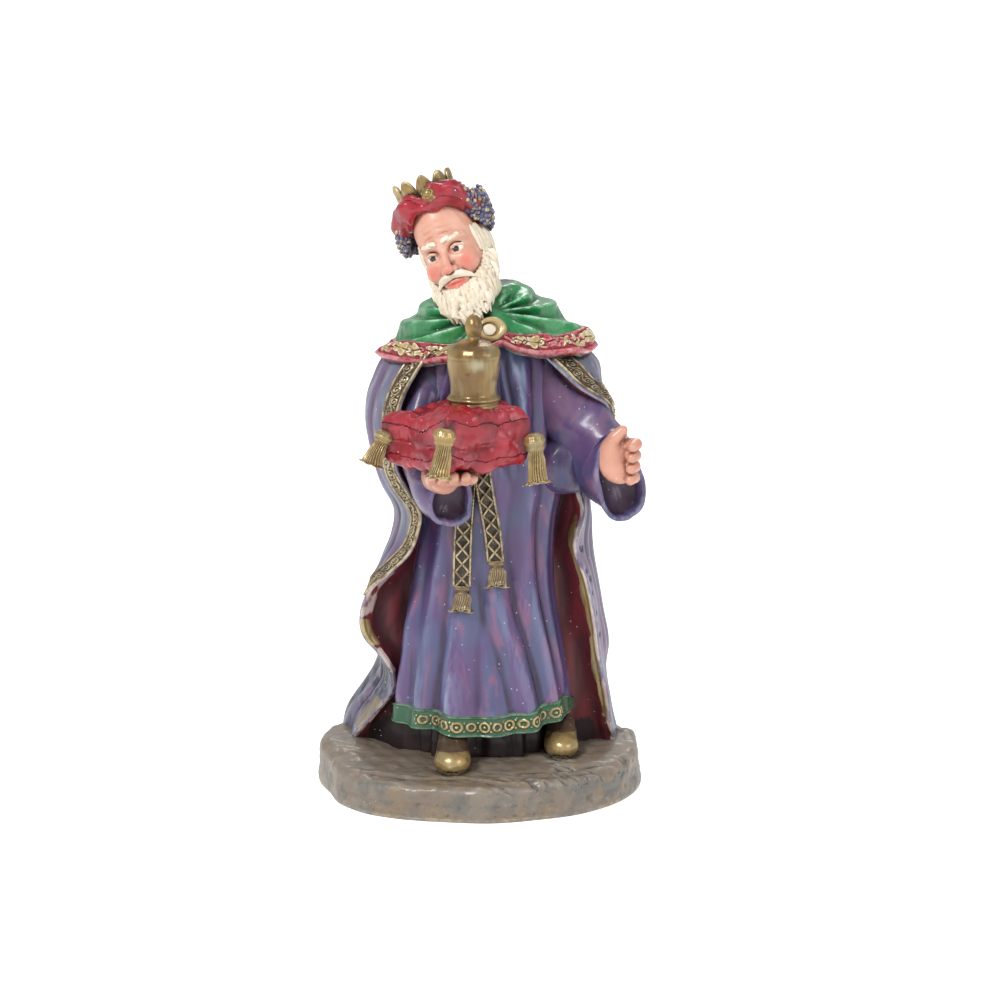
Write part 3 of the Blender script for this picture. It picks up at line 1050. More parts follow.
def make_cape():
    angles = np.linspace(-math.pi, math.pi, 480, endpoint=False)
    rows = [cape_point(angles, share) for share in np.linspace(0, 1, 150)]
    under = ((1.0, 0.5), (0.99, 0.85), (0.97, 1.0), (0.92, 1.0), (0.86, 1.0), (0.8, 1.0))
    lower = [cape_point(angles, share, -CAPE_THICK * drop, 0.3) - (0, 0, 0.7 * drop) for share, drop in under]
    points = np.array([rows[0] * (0.6, 0.6, 1) + (0, 0, -0.8)] + rows + lower)
    form = Form()
    form.grid(points, around=True, caps=True)
    green = painted("cape_green", GREEN, ridge=0.13, bump=0.15, glints=1.4, coat=0.6)
    piece("cape", form, green, blur=26)

    angles = np.linspace(-math.pi, math.pi, 1500, endpoint=False)
    shares = np.linspace(HEM_STARTS, 1.0, 40)
    surface = np.array([cape_point(angles, share) for share in shares])
    s = angles * 17.0
    t = (shares - HEM_STARTS) / (1 - HEM_STARTS) * 3.9
    leaf, cut = np.zeros((len(t), len(s))), np.zeros((len(t), len(s)))
    for pitch, shift, slant, half in ((7.9, 0.0, 0.55, 1.9), (7.9, 3.0, -0.7, 1.5), (7.9, 5.4, 0.9, 1.2)):
        along = ((s[None] / pitch - shift / pitch + 0.5) % 1 - 0.5) * pitch
        across = t[:, None] - 1.8
        u, v = along + slant * across, across - 0.3 * slant * along
        petal = 1 - ((u / half) ** 2 + (v / 1.35) ** 2)
        rib = np.minimum(np.abs(v), np.abs(np.abs(u) - 0.5 * half - 0.5 * np.abs(v)))
        vein = np.exp(-((rib / 0.12) ** 2)) * (np.abs(u) < 0.85 * half)
        notch = 0.35 * np.cos(5 * np.arctan2(v / 1.35, u / half))
        leaf = np.maximum(leaf, smooth_step(0.0, 0.3, petal + notch) * (1 - 0.7 * vein))
        cut = np.maximum(cut, vein)
    stem = np.exp(-(((t[:, None] - 1.9 - 0.9 * np.sin(TAU * s[None] / 7.9)) / 0.25) ** 2))
    upper = np.exp(-(((t - 0.25) / 0.2) ** 2))[:, None]
    lip = smooth_step(3.1, 3.5, t)[:, None]
    worn = smooth_step(-0.55, 0.15, lumps(surface, 3.2, 2, 57))
    gilt = np.clip(np.maximum(leaf, 0.9 * stem) * worn + 0.5 * upper, 0, 1) * (1 - lip)
    edge = smooth_step(0.0, 0.35, t)[:, None]
    lift = ((0.26 + 0.38 * np.clip(leaf + 0.6 * stem + 0.5 * upper + 0.7 * lip, 0, 1) - 0.12 * cut) * edge
            - 0.12 * (1 - edge))
    outward = np.stack([np.sin(angles), -np.cos(angles), 0.5 + 0 * angles], axis=-1)
    front = surface + outward[None] * lift[..., None]
    rear = [cape_point(angles, share, -0.7, 0.3) - (0, 0, 0.5) for share in (1.0, 0.9, HEM_STARTS)]
    form = Form()
    gilt = np.concatenate([gilt, np.zeros((3, len(angles)))])
    around = np.swapaxes(np.concatenate([front, np.array(rear)]), 0, 1)
    form.grid(around, around=True, along=True, gilt=gilt.T)
    crimson = painted("cape_hem_paint", CERISE, ("gilt", CREAM_GOLD), ridge=0.05, glints=1.4, coat=0.6)
    piece("cape_hem", form, crimson, blur=10)

    turn = np.linspace(0, TAU, 96, endpoint=False)
    profile = [(0.0, 0.95), (0.6, 0.92), (1.05, 0.75), (1.25, 0.4), (1.36, 0.5), (1.55, 0.95), (1.9, 1.1),
               (2.2, 0.85), (2.35, 0.3), (2.35, -0.8), (0.0, -0.8)]
    profile = through(np.column_stack([np.linspace(0, 1, len(profile)), profile]), np.linspace(0, 1, 60))
    wobble = 1 + 0.05 * np.sin(3 * turn + 0.7)
    out, up = profile[:, :1], profile[:, 1:]
    inset = smooth_step(1.9, 1.2, out)
    ring = np.stack([1.02 * out * np.cos(turn) * wobble - 0.5 * inset, -up + 0 * turn,
                     0.92 * out * np.sin(turn) - 0.25 * inset], axis=-1)
    lean = Matrix.Translation(BROOCH_PLACE) @ Matrix.Rotation(-0.35, 4, "X")
    cream = smooth_step(1.22, 1.1, np.abs(out)) + 0 * turn
    form = Form()
    form.grid(placed(ring, lean), around=True, caps=True, cream=cream)
    piece("brooch", form, painted("brooch_paint", CREAM_GOLD, ("cream", IVORY), ridge=0.06), blur=10)


# Sleeves and girdle

def sleeve(form, stations, opening, seed, lean=0.0, shaded=0.0):
    stations = np.asarray(stations, float)
    shares = np.linspace(0, 1, 190)
    path = through(np.column_stack([np.linspace(0, 1, len(stations)), stations]), shares)
    way = np.gradient(path[:, :3], axis=0)
    way[-1] = opening
    blend = smooth_step(0.6, 1.0, shares)[:, None]
    way = unit(unit(way) * (1 - blend) + np.array(opening) * blend)
    around = np.linspace(0, TAU, 220, endpoint=False)
    round_it = np.stack([np.cos(around), np.sin(around)], axis=-1)

    def ring(i, shrink=0.0, pushed=0.0, calm=1.0):
        across = unit(np.cross(way[i], (0, 0, 1)))
        upward = np.cross(across, way[i])
        turn = lean * blend[i, 0]
        across, upward = (across * math.cos(turn) - upward * math.sin(turn),
                          upward * math.cos(turn) + across * math.sin(turn))
        centre = path[i, :3] - way[i] * pushed
        crease = 1 + 0.05 * np.sin(3 * around + 9 * shares[i])
        at = np.column_stack([3.2 * round_it, np.full(len(around), 0.55 * shares[i] * 24)])
        phase = 4 * around - 14 * shares[i] + 2.5 * lump(at, 3.0, seed)
        folds = 0.5 * np.sin(phase + 0.5 * np.sin(phase)) * smooth_step(0.05, 0.35, shares[i])
        soft = calm * (0.30 * folds + 0.24 * lump(at, 2.6, seed + 3) + 0.08 * lump(at, 1.2, seed + 5))
        wide = (path[i, 3] - shrink) * crease + soft
        tall = (path[i, 4] - shrink) * crease + soft
        return (centre + across * (wide * round_it[:, 0])[:, None]
                + upward * (tall * round_it[:, 1])[:, None])

    rings = [ring(i) for i in range(len(shares))]
    rings += [ring(-1, 0.12, -0.22), ring(-1, 0.45, -0.32), ring(-1, 0.78, -0.2), ring(-1, SLEEVE_WALL, 0.1)]
    rings += [ring(-1, SLEEVE_WALL * (1 + 0.5 * t), SLEEVE_HOLLOW * t) for t in np.linspace(0.2, 1, 14)]
    inside = smooth_step(len(rings) - 15, len(rings) - 12, np.arange(len(rings)))[:, None]
    inside = np.maximum(inside, 0.55 * shaded * (0.8 + 0.5 * lump(np.array(rings), 4.0, seed + 7)))
    form.grid(np.array(rings), around=True, caps=True, inside=inside)


def make_sleeves():
    paint = painted("sleeve_paint", PLUM, ("inside", DUSK), stretch=(1, 1, 0.5), ridge=0.16)
    form = Form()
    sleeve(form, GIVING_SLEEVE, (0.25, -0.95, -0.1), 61, shaded=1.0)
    piece("right_sleeve", form, paint, blur=26)
    form = Form()
    sleeve(form, OPEN_SLEEVE, (0.5, -0.86, 0.0), 71, OPEN_SLEEVE_LEAN)
    centre, half = np.array(SLEEVE_DRAPE[0]), np.array(SLEEVE_DRAPE[1])
    way = ball_points((0, 0, 0), 1.0, 90, 150)
    fold = 0.5 * lump(way * half, 4.0, 76) + 0.15 * lump(way * half, 1.8, 78)
    form.grid(centre + way * half * (1 + fold[..., None] / half.mean()), around=True, caps=True, inside=0.5)
    piece("left_sleeve", form, paint, blur=26)


def on_robe(x, height, out=0.0):
    centre_x, centre_y, half_wide, half_deep = through(ROBE_FORM, height)
    angle = math.asin(max(-1, min(1, (x - centre_x) / half_wide)))
    lift = float(robe_offset(np.array(angle), np.array(float(height)))) + out
    return np.array([x, centre_y - half_deep * math.cos(angle) - lift * math.cos(angle), height])


def make_girdle():
    form = Form()
    ends = (
        (((-2.4, 53), (-2.9, 47), (-3.3, 41), (-3.5, 32.9)), (-3.7, 28.5), 3.5),
        (((0.0, 55), (0.9, 49), (2.0, 43), (2.6, 37.4)), (2.8, 32.9), 3.3),
    )
    for line, foot, wide in ends:
        stops = np.array([on_robe(x, h, 0.35) for x, h in line])
        path = through(np.column_stack([np.linspace(0, 1, len(stops)), stops]), np.linspace(0, 1, 300))
        s = np.concatenate([[0], np.cumsum(np.linalg.norm(np.diff(path, axis=0), axis=1))])
        t = np.linspace(-wide / 2, wide / 2, 38)
        cross = np.abs(((s[:, None] + 1.15 * t[None]) / 2.7) % 1 - 0.5) * 2
        other = np.abs(((s[:, None] - 1.15 * t[None]) / 2.7) % 1 - 0.5) * 2
        lattice = np.maximum(smooth_step(0.62, 0.9, cross), smooth_step(0.62, 0.9, other))
        cord = ((0.85 + 0.15 * np.sin(TAU * s[:, None] / 0.7))
                * smooth_step(wide / 2 - 0.6, wide / 2 - 0.4, np.abs(t)))
        high = np.where(np.abs(t)[None] > wide / 2 - 0.5, cord, lattice)
        lift = (0.36 + 0.40 * high) * smooth_step(wide / 2, wide / 2 - 0.16, np.abs(t))
        front = path[:, None] + np.stack([t[None] + 0 * lift, -lift, 0 * lift], axis=-1)
        flat = np.broadcast_to(t[::-8], (len(s), len(t[::-8])))
        rear = path[:, None] + np.stack([flat, 0.8 + 0 * flat, 0 * flat], axis=-1)
        form.grid(np.concatenate([front, rear], axis=1), around=True, caps=True)
        start = on_robe(*line[-1], 0.35)
        tassel(form, start, on_robe(*foot, 0.5) - start, 0.0, 1.4, 1.7, flat=0.62, knot=False)
    piece("girdle", form, painted("girdle_gold", AGED_GOLD, ridge=0.055, grain=0.25), blur=10)


def tassel(form, start, fall, cap, neck, skirt, flat=1.0, knot=True, seed=0):
    """A tassel: a bound head, a neck, and a flared skirt of threads with an uneven end."""
    start, fall = np.asarray(start, float), np.asarray(fall, float)
    length = np.linalg.norm(fall)
    down = fall / length
    across = unit(np.cross(down, (0, 1, 0)))
    outward = np.cross(down, across)
    around = np.linspace(0, TAU, 144, endpoint=False)
    stops = ([(0.0, 0.55), (0.06, 1.0), (0.2, 1.12), (0.32, 0.9)] if knot
             else [(0.0, 0.9), (0.12, 1.1), (0.2, 0.8)])
    radius_at = [(s, r * (cap if knot else neck)) for s, r in stops]
    radius_at += [(0.38, neck), (0.55, neck * 1.12), (0.8, 0.9 * skirt), (0.97, skirt),
                  (1.02, 0.93 * skirt), (1.03, 0.35)]
    shares = np.concatenate([np.linspace(0, 0.97, 90), [0.985, 1.0, 1.015, 1.022]])
    radius = through(radius_at, shares)[:, 0]
    threads = np.abs(np.sin(11 * around[None] + 1.5 * np.sin(5 * shares[:, None] + seed)
                            + 0.6 * np.sin(3 * around[None])))
    on_skirt = smooth_step(0.30, 0.42, shares)[:, None]
    groove = 0.05 + 0.22 * on_skirt
    bound = 0.10 * (1 - on_skirt) * np.sin(46 * shares)[:, None]
    lump_at = np.stack([3 * np.cos(around)[None] + 0 * threads, 3 * np.sin(around)[None] + 0 * threads,
                        length * shares[:, None] + 0 * threads], axis=-1)
    r = (radius[:, None] * (1 + 0.05 * lump(lump_at, 1.6, 90 + seed))
         + groove * (threads - 0.7) * (radius[:, None] > 0.6) + bound)
    drop = (length * shares[:, None]
            + 0.35 * lump(np.stack([2 * np.cos(around), 2 * np.sin(around), 0 * around], axis=-1), 0.9,
                          97 + seed)[None] * smooth_step(0.8, 1.0, shares)[:, None])
    bend = 0.25 * np.sin(3 * shares + seed)[:, None, None]
    points = start + down * drop[..., None] + across * (r * np.cos(around) + bend[..., 0])[..., None]
    points = points + outward * (flat * r * np.sin(around))[..., None]
    form.grid(points, around=True, caps=True)


# Cushion, tassels and jar

def make_cushion():
    steps = 180
    grid = np.linspace(-1, 1, steps)
    u, v = np.meshgrid(grid, grid, indexing="ij")
    pinch = 1 - 0.10 * (1 - np.abs(u) ** 3) * np.abs(v) ** 4 - 0.10 * (1 - np.abs(v) ** 3) * np.abs(u) ** 4
    half_side = CUSHION_HALF_DIAGONAL / math.sqrt(2)
    x, y = u * pinch * half_side, v * pinch * half_side
    rim = np.maximum(np.abs(u), np.abs(v))
    puff = (1 - np.clip(rim, 0, 0.9999) ** 6) ** 0.5 * (1 - 0.25 * (u * v) ** 2)
    lift = CORNER_LIFT * np.abs(u * v) ** 2.2
    lift = lift + FRONT_CORNER_LIFT * (np.maximum(-u, 0) * np.maximum(-v, 0)) ** 2.2
    fuller = CUSHION_FULLER_TOP - 0.35 * smooth_step(0.1, 0.9, v - u)
    half = (CUSHION_HALF_THICK - CUSHION_EDGE) * puff + CUSHION_EDGE
    top, low = np.stack([x, y, lift + fuller * half], axis=-1), np.stack([x, y, lift - half], axis=-1)
    index = np.arange(steps * steps).reshape(steps, steps)
    quads = np.stack([index[:-1, :-1], index[1:, :-1], index[1:, 1:], index[:-1, 1:]], axis=-1).reshape(-1, 4)
    edge = np.concatenate([index[:, 0], index[-1, 1:], index[-2::-1, -1], index[0, -2:0:-1]])
    top, low = top.reshape(-1, 3), low.reshape(-1, 3)
    sheets, seams, loops = [top, low], [np.zeros(len(top)), np.zeros(len(low))], [edge]
    for share in np.linspace(0, 1, 30)[1:-1]:
        ring = top[edge] + (low[edge] - top[edge]) * share
        ring[:, :2] *= 1 + 0.025 * math.sin(math.pi * share)
        sheets.append(ring)
        seams.append(np.full(len(edge), math.exp(-(((share - 0.6) / 0.07) ** 2))))
        loops.append(2 * len(top) + (len(sheets) - 3) * len(edge) + np.arange(len(edge)))
    loops.append(edge + len(top))
    bands = [np.stack([a, b, np.roll(b, -1), np.roll(a, -1)], axis=-1)[:, ::-1]
             for a, b in zip(loops, loops[1:])]
    points, seam = np.concatenate(sheets), np.concatenate(seams)
    outward = unit(points * (0.6, 0.6, 1.6) / (13, 13, 6))
    crush = (1.3 * np.abs(lump(points, 4.2, 81)) + 0.8 * np.abs(lump(points, 2.1, 83))
             + 0.15 * lump(points, 0.9, 85))
    corner = np.minimum(np.hypot(np.abs(points[:, 0]) - half_side, np.abs(points[:, 1]) - half_side), 9)
    turn = np.arctan2(np.abs(points[:, 1]) - half_side, np.abs(points[:, 0]) - half_side)
    gather = (0.3 * np.sin(13 * turn + 0.4 * corner) * np.exp(-((corner / 5) ** 2))
              * smooth_step(0.4, 2, corner))
    points = points + outward * (0.85 * crush - 0.75 + gather - 1.2 * seam)[:, None]
    faces = np.concatenate([quads, quads[:, ::-1] + len(top)] + bands)
    points = averaged(points, edges_of([faces]), len(points), 24)
    place = Matrix.Translation(CUSHION_PLACE) @ Matrix.Rotation(CUSHION_TURN + math.pi / 4, 4, "Z")
    form = Form()
    form.add(placed(points, place), [faces])
    piece("cushion", form, painted("cushion_crimson", CRIMSON, ridge=0.20, bump=0.4, grain=0.3), blur=26)

    form = Form()
    for i, (place, fall, length) in enumerate(TASSELS):
        start = np.array(place) - 1.4 * unit(np.array(fall))
        tassel(form, start, unit(np.array(fall)) * (length + 1.2), 1.7, 1.3, 1.75, seed=i)
    piece("cushion_tassels", form, painted("tassel_gold", BRASS, ridge=0.07, grain=0.25), blur=10)


def make_jar():
    heights = np.array(JAR_PROFILE)
    length = np.concatenate([[0], np.cumsum(np.linalg.norm(np.diff(heights, axis=0), axis=1))])
    dense = np.linspace(0, length[-1], 380)
    profile = [np.interp(dense, length, heights[:, k]) for k in range(2)]
    kernel = np.hanning(13) / np.hanning(13).sum()
    smooth = np.stack([np.convolve(np.pad(p, 6, mode="edge"), kernel, mode="valid") for p in profile],
                      axis=-1)
    smooth[0] = heights[0]
    around = np.linspace(0, TAU, 240, endpoint=False)
    z, r = smooth[:, :1] + 0 * around, np.maximum(smooth[:, 1:], 0.02) + 0 * around
    at = np.stack([r * np.cos(around), r * np.sin(around), z], axis=-1)
    gadroon = (0.07 * np.abs(np.sin(8 * around))[None] * smooth_step(10.2, 11.0, z)
               * smooth_step(13.2, 12.0, z))
    r = r + 0.09 * lump(at, 2.6, 101) + 0.035 * lump(at, 0.9, 103) * (r > 0.5) - gadroon
    points = np.array(JAR_PLACE) + np.stack([r * np.sin(around), -r * np.cos(around), z], axis=-1)
    bloom = np.exp(-(((around - 0.15 + math.pi) % TAU - math.pi) / 0.35) ** 2 - ((z - 9.3) / 1.1) ** 2)
    form = Form()
    form.grid(points, around=True, caps=True, bloom=bloom)
    brass = painted("jar_gold", BRONZE, ("bloom", PATINA), stretch=(1, 1, 0.22), ridge=0.07, bump=0.3,
                    glints=0.3, edges=(0.1, 1.0))
    piece("jar", form, brass, blur=18)


# Hands and shoes

def make_hands():
    clay = Clay((16, -17, 49), (32, -3, 65), 0.11)
    clay.rod([(20.6, -6.6, 56.2), (23.3, -9.6, 56.0)], [2.5, 2.7], 0.6)
    clay.ball((24.4, -10.4, 56.2), (3.7, 1.9, 4.5), 0.9, turn=0.25)
    clay.ball((23.1, -11.5, 57.4), (1.6, 1.3, 2.4), 0.6, turn=0.2)
    clay.ball((24.8, -11.6, 53.6), (2.3, 1.2, 1.9), 0.6)
    clay.rod([(22.9, -11.2, 58.2), (23.9, -11.9, 60.2), (25.2, -12.0, 61.5)], [1.45, 1.25, 0.95], 0.45)
    for i in range(4):
        base = np.array((26.3, -10.9, 58.9 - 2.0 * i))
        bend = base + (1.35 - 0.12 * i, -1.1, 0.1)
        tip = bend + (-0.7, -1.4, -0.3)
        clay.rod([base, bend, tip], [1.12, 1.12, 0.9], 0.16 if i else 0.3)
    form = Form()
    points, quads = clay.skin()
    form.add(points, [quads], rose=0.4 * smooth_step(26.6, 28.2, points[:, 0]))
    clay = Clay((-15, -32, 49), (1, -11, 59.5), 0.12)
    clay.rod([(-8.6, -14.0, 53.4), (-6.4, -20.5, 54.2)], [2.8, 2.6], 0.6)
    clay.ball((-5.7, -22.0, 55.2), (4.3, 5.3, 1.9), 0.9)
    for i in range(4):
        base = np.array((-8.6 + 2.0 * i, -25.0, 55.3))
        clay.rod([base, base + (0.05, -2.2, 0.1), base + (0.1, -3.7, 0.9)], [1.12, 1.05, 0.9], 0.2)
    clay.rod([(-3.2, -20.5, 54.8), (-1.6, -23.5, 55.0), (-1.4, -25.6, 55.4)], [1.4, 1.2, 1.0], 0.4)
    points, quads = clay.skin()
    form.add(points, [quads])
    piece("hands", form, painted("hand_flesh", HAND_FLESH, ("rose", ROSE), ridge=0.08, bump=0.12), blur=14)


def make_shoes():
    form = Form()
    for (centre, half, turn), start in zip(SHOES, (1.5, 2.2)):
        centre = np.array(centre)
        clay = Clay(centre - (6, 7, 4), centre + (6, 8, 8), 0.16)
        clay.ball(centre + (0, -0.5, -0.3), (half[0], half[1] - 0.6, half[2] - 0.2), 0.8, turn=turn)
        clay.ball(centre + (0, 1.8, -0.2), (half[0] * 0.86, half[1] * 0.8, half[2]), 0.8, turn=turn)
        ankle = centre + (0, 1.9, 0.2)
        clay.rod([ankle, ankle + (0, 1.6, 0.9), ankle + (0, 3.2, 1.6)], [2.85, 2.85, 2.75], 0.5)
        clay.rod([centre + (-3.4, 1.2, -1.2), centre + (0, -5.0, -1.8), centre + (3.4, 1.2, -1.2)],
                 [0.2] * 3, 0.4, cut=True)
        points, quads = clay.skin()
        points = points + 0.06 * lumps(points, 1.4, 2, 111)[:, None]
        cuff = smooth_step(-0.5, 0.1, points[:, 2] - centre[2] + 0.2 * (points[:, 1] - centre[1]) - start)
        form.add(points, [quads], cuff=cuff)
    gold = painted("shoe_gold", BRASS, ("cuff", UMBER), ridge=0.09, bump=0.3)
    piece("shoes", form, gold, blur=20)


# Head

def mirrored(clay, kind, *args, **more):
    for side in (-1, 1):
        at = (side, 1, 1)
        if kind == "ball":
            centre, half, *rest = args
            clay.ball(np.array(centre) * at, half, *rest, **more)
        else:
            points, radii, *rest = args
            clay.rod(np.array(points) * at, radii, *rest, **more)


def make_face():
    clay = Clay((-8, -10, -16), (8, 9, 12), 0.125)
    clay.ball((0, 0.4, 3.6), (5.6, 7.05, 8.0), 0.5)
    clay.ball((0, -0.8, -2.0), (5.2, 5.8, 7.8), 1.2)
    clay.rod([(0, 1.5, -5.0), (0.8, 2.6, -13.0)], [3.9, 4.2], 0.8)
    mirrored(clay, "rod", [(0.5, -6.25, 1.8), (2.2, -6.05, 2.1), (4.0, -4.6, 1.8)], [0.55, 0.6, 0.45], 0.9)
    mirrored(clay, "ball", (2.35, -6.5, 0.15), (1.55, 1.25, 1.0), 0.6, cut=True)
    mirrored(clay, "ball", (2.9, -4.75, -2.6), (2.1, 1.6, 2.0), 1.3)
    clay.rod([(0, -6.0, 1.5), (0, -7.0, -0.6), (0, -8.0, -2.6)], [0.55, 0.62, 0.8], 0.6)
    clay.ball((0, -8.15, -2.75), (0.95, 0.85, 0.82), 0.4)
    mirrored(clay, "ball", (0.95, -7.2, -3.05), (0.62, 0.85, 0.6), 0.3)
    mirrored(clay, "ball", (0.48, -7.75, -3.65), (0.26, 0.45, 0.22), 0.1, cut=True)
    clay.ball((0, -5.6, -5.3), (2.6, 1.5, 2.0), 1.1)
    clay.rod([(-1.7, -6.45, -5.45), (-0.6, -7.1, -5.15), (0.6, -7.1, -5.15), (1.7, -6.45, -5.45)],
             [0.2, 0.36, 0.36, 0.2], 0.25)
    clay.rod([(-1.4, -6.6, -5.95), (0, -7.05, -6.15), (1.4, -6.6, -5.95)], [0.26, 0.46, 0.26], 0.25)
    clay.rod([(-1.9, -6.7, -5.6), (0, -7.7, -5.6), (1.9, -6.7, -5.6)], [0.1, 0.1, 0.1], 0.18, cut=True)
    clay.ball((0, -5.7, -8.6), (1.9, 1.4, 1.6), 1.0)
    mirrored(clay, "rod", [(1.75, -6.9, -2.9), (2.5, -6.4, -4.4), (2.9, -5.9, -5.6)], [0.1, 0.14, 0.1], 0.5,
             cut=True)
    mirrored(clay, "rod", [(1.1, -5.75, -0.05), (1.7, -6.2, 0.55), (2.5, -6.25, 0.78), (3.2, -5.75, 0.5),
                           (3.6, -5.2, -0.05)], [0.2, 0.27, 0.3, 0.27, 0.2], 0.2)
    mirrored(clay, "rod", [(1.15, -5.75, -0.15), (1.8, -6.1, -0.62), (2.6, -6.1, -0.74),
                           (3.5, -5.25, -0.2)], [0.18, 0.22, 0.24, 0.18], 0.25)
    mirrored(clay, "ball", (2.3, -5.9, -1.5), (1.2, 0.6, 0.35), 0.5, lean=0.5)
    mirrored(clay, "ball", (5.65, 0.9, -0.6), (0.75, 1.6, 2.3), 0.3, lean=0.2)
    mirrored(clay, "ball", (6.25, 0.5, -0.4), (0.45, 0.9, 1.4), 0.2, cut=True)
    helix = [(6.0, -0.4, 0.9), (6.2, 0.9, 1.6), (6.1, 2.1, 0.4), (5.9, 1.6, -1.6)]
    mirrored(clay, "rod", helix, [0.28, 0.3, 0.3, 0.3], 0.15)
    for z, bow in ((3.6, 0.25), (4.7, 0.3), (5.8, 0.3)):
        clay.rod([(-3.2, -5.7, z - bow), (0, -6.9, z), (3.2, -5.7, z - bow)], [0.08, 0.12, 0.08], 0.5,
                 cut=True)
    points, quads = clay.skin()
    x, y, z = np.abs(points[:, 0]), points[:, 1], points[:, 2]
    cheek = np.exp(-((x - 3.2) ** 2 / 2.6 + (z + 2.4) ** 2 / 2.2)) * (y < -3)
    nose = 0.55 * np.exp(-(x**2 / 0.9 + (z + 2.9) ** 2 / 1.1)) * (y < -6.8)
    lips = smooth_step(0.75, 0.5, np.abs(z + 5.68)) * smooth_step(2.0, 1.4, x) * (y < -6.2)
    ear = 0.35 * (x > 5.6)
    form = Form()
    form.add(placed(points, HEAD), [quads], rose=np.clip(0.8 * cheek + nose + lips + ear, 0, 1))
    piece("face", form,
          painted("face_flesh", FLESH, ("rose", ROSE), ridge=0.08, bump=0.08, glints=0.3, edges=(0.0, 1.0),
                  coat=0.12), blur=14)


def eye_paint():
    n = Nodes("eye_paint")
    colour = n.mix(n.span(n.attribute("iris"), 0.4, 0.6), (0.82, 0.78, 0.70), (0.045, 0.022, 0.012))
    colour = n.mix(n.span(n.attribute("pupil"), 0.4, 0.6), colour, (0.004, 0.004, 0.005))
    colour = n.mix(n.span(n.attribute("line"), 0.4, 0.6), colour, (0.03, 0.014, 0.01))
    colour = n.mix(n.span(n.attribute("spark"), 0.4, 0.6), colour, (0.9, 0.9, 0.9))
    shade = n.span(n.noise(0.5), 0.3, 0.7, 0.12, 0.22)
    n.link(colour, n.shader.inputs["Base Color"])
    n.link(shade, n.shader.inputs["Roughness"])
    n.shader.inputs["Coat Weight"].default_value = 0.5
    return n.material


def make_eyes():
    form = Form()
    for side in (-1, 1):
        centre = np.array((2.35 * side, -4.85, 0.05))
        polar = np.linspace(0.02, math.pi - 0.02, 110)[:, None]
        around = np.linspace(0, TAU, 160, endpoint=False)[None]
        way = np.stack([np.sin(polar) * np.cos(around), -np.cos(polar) + 0 * around,
                        np.sin(polar) * np.sin(around)], axis=-1)
        gaze = unit(np.array((0.10 * side * 0 - 0.06, -1.0, -0.02)))
        off = np.arccos(np.clip(way @ gaze, -1, 1))
        spark = np.linalg.norm(way - unit(np.array((-0.28, -1.0, 0.24))), axis=-1)
        lid = smooth_step(0.42, 0.50, way[..., 2]) * (way[..., 1] < 0)
        points = centre + 1.36 * way
        form.grid(placed(points, HEAD), around=True, caps=True, iris=smooth_step(0.50, 0.44, off),
                  pupil=smooth_step(0.26, 0.21, off), line=lid, spark=smooth_step(0.13, 0.09, spark))
    piece("eyes", form, eye_paint(), blur=4)


def lock(clay, root, fall, bend, radius, blend=0.08):
    """One curved, tapering lock of hair from its root."""
    root, fall, bend = np.array(root, float), np.array(fall, float), np.array(bend, float)
    t = np.linspace(0, 1, 5)[:, None]
    points = root + fall * t + bend * np.sin(math.pi * t) + 0.25 * bend[::-1] * np.sin(TAU * t)
    clay.rod(points, radius * np.array([0.75, 1.0, 0.95, 0.7, 0.25]), blend)


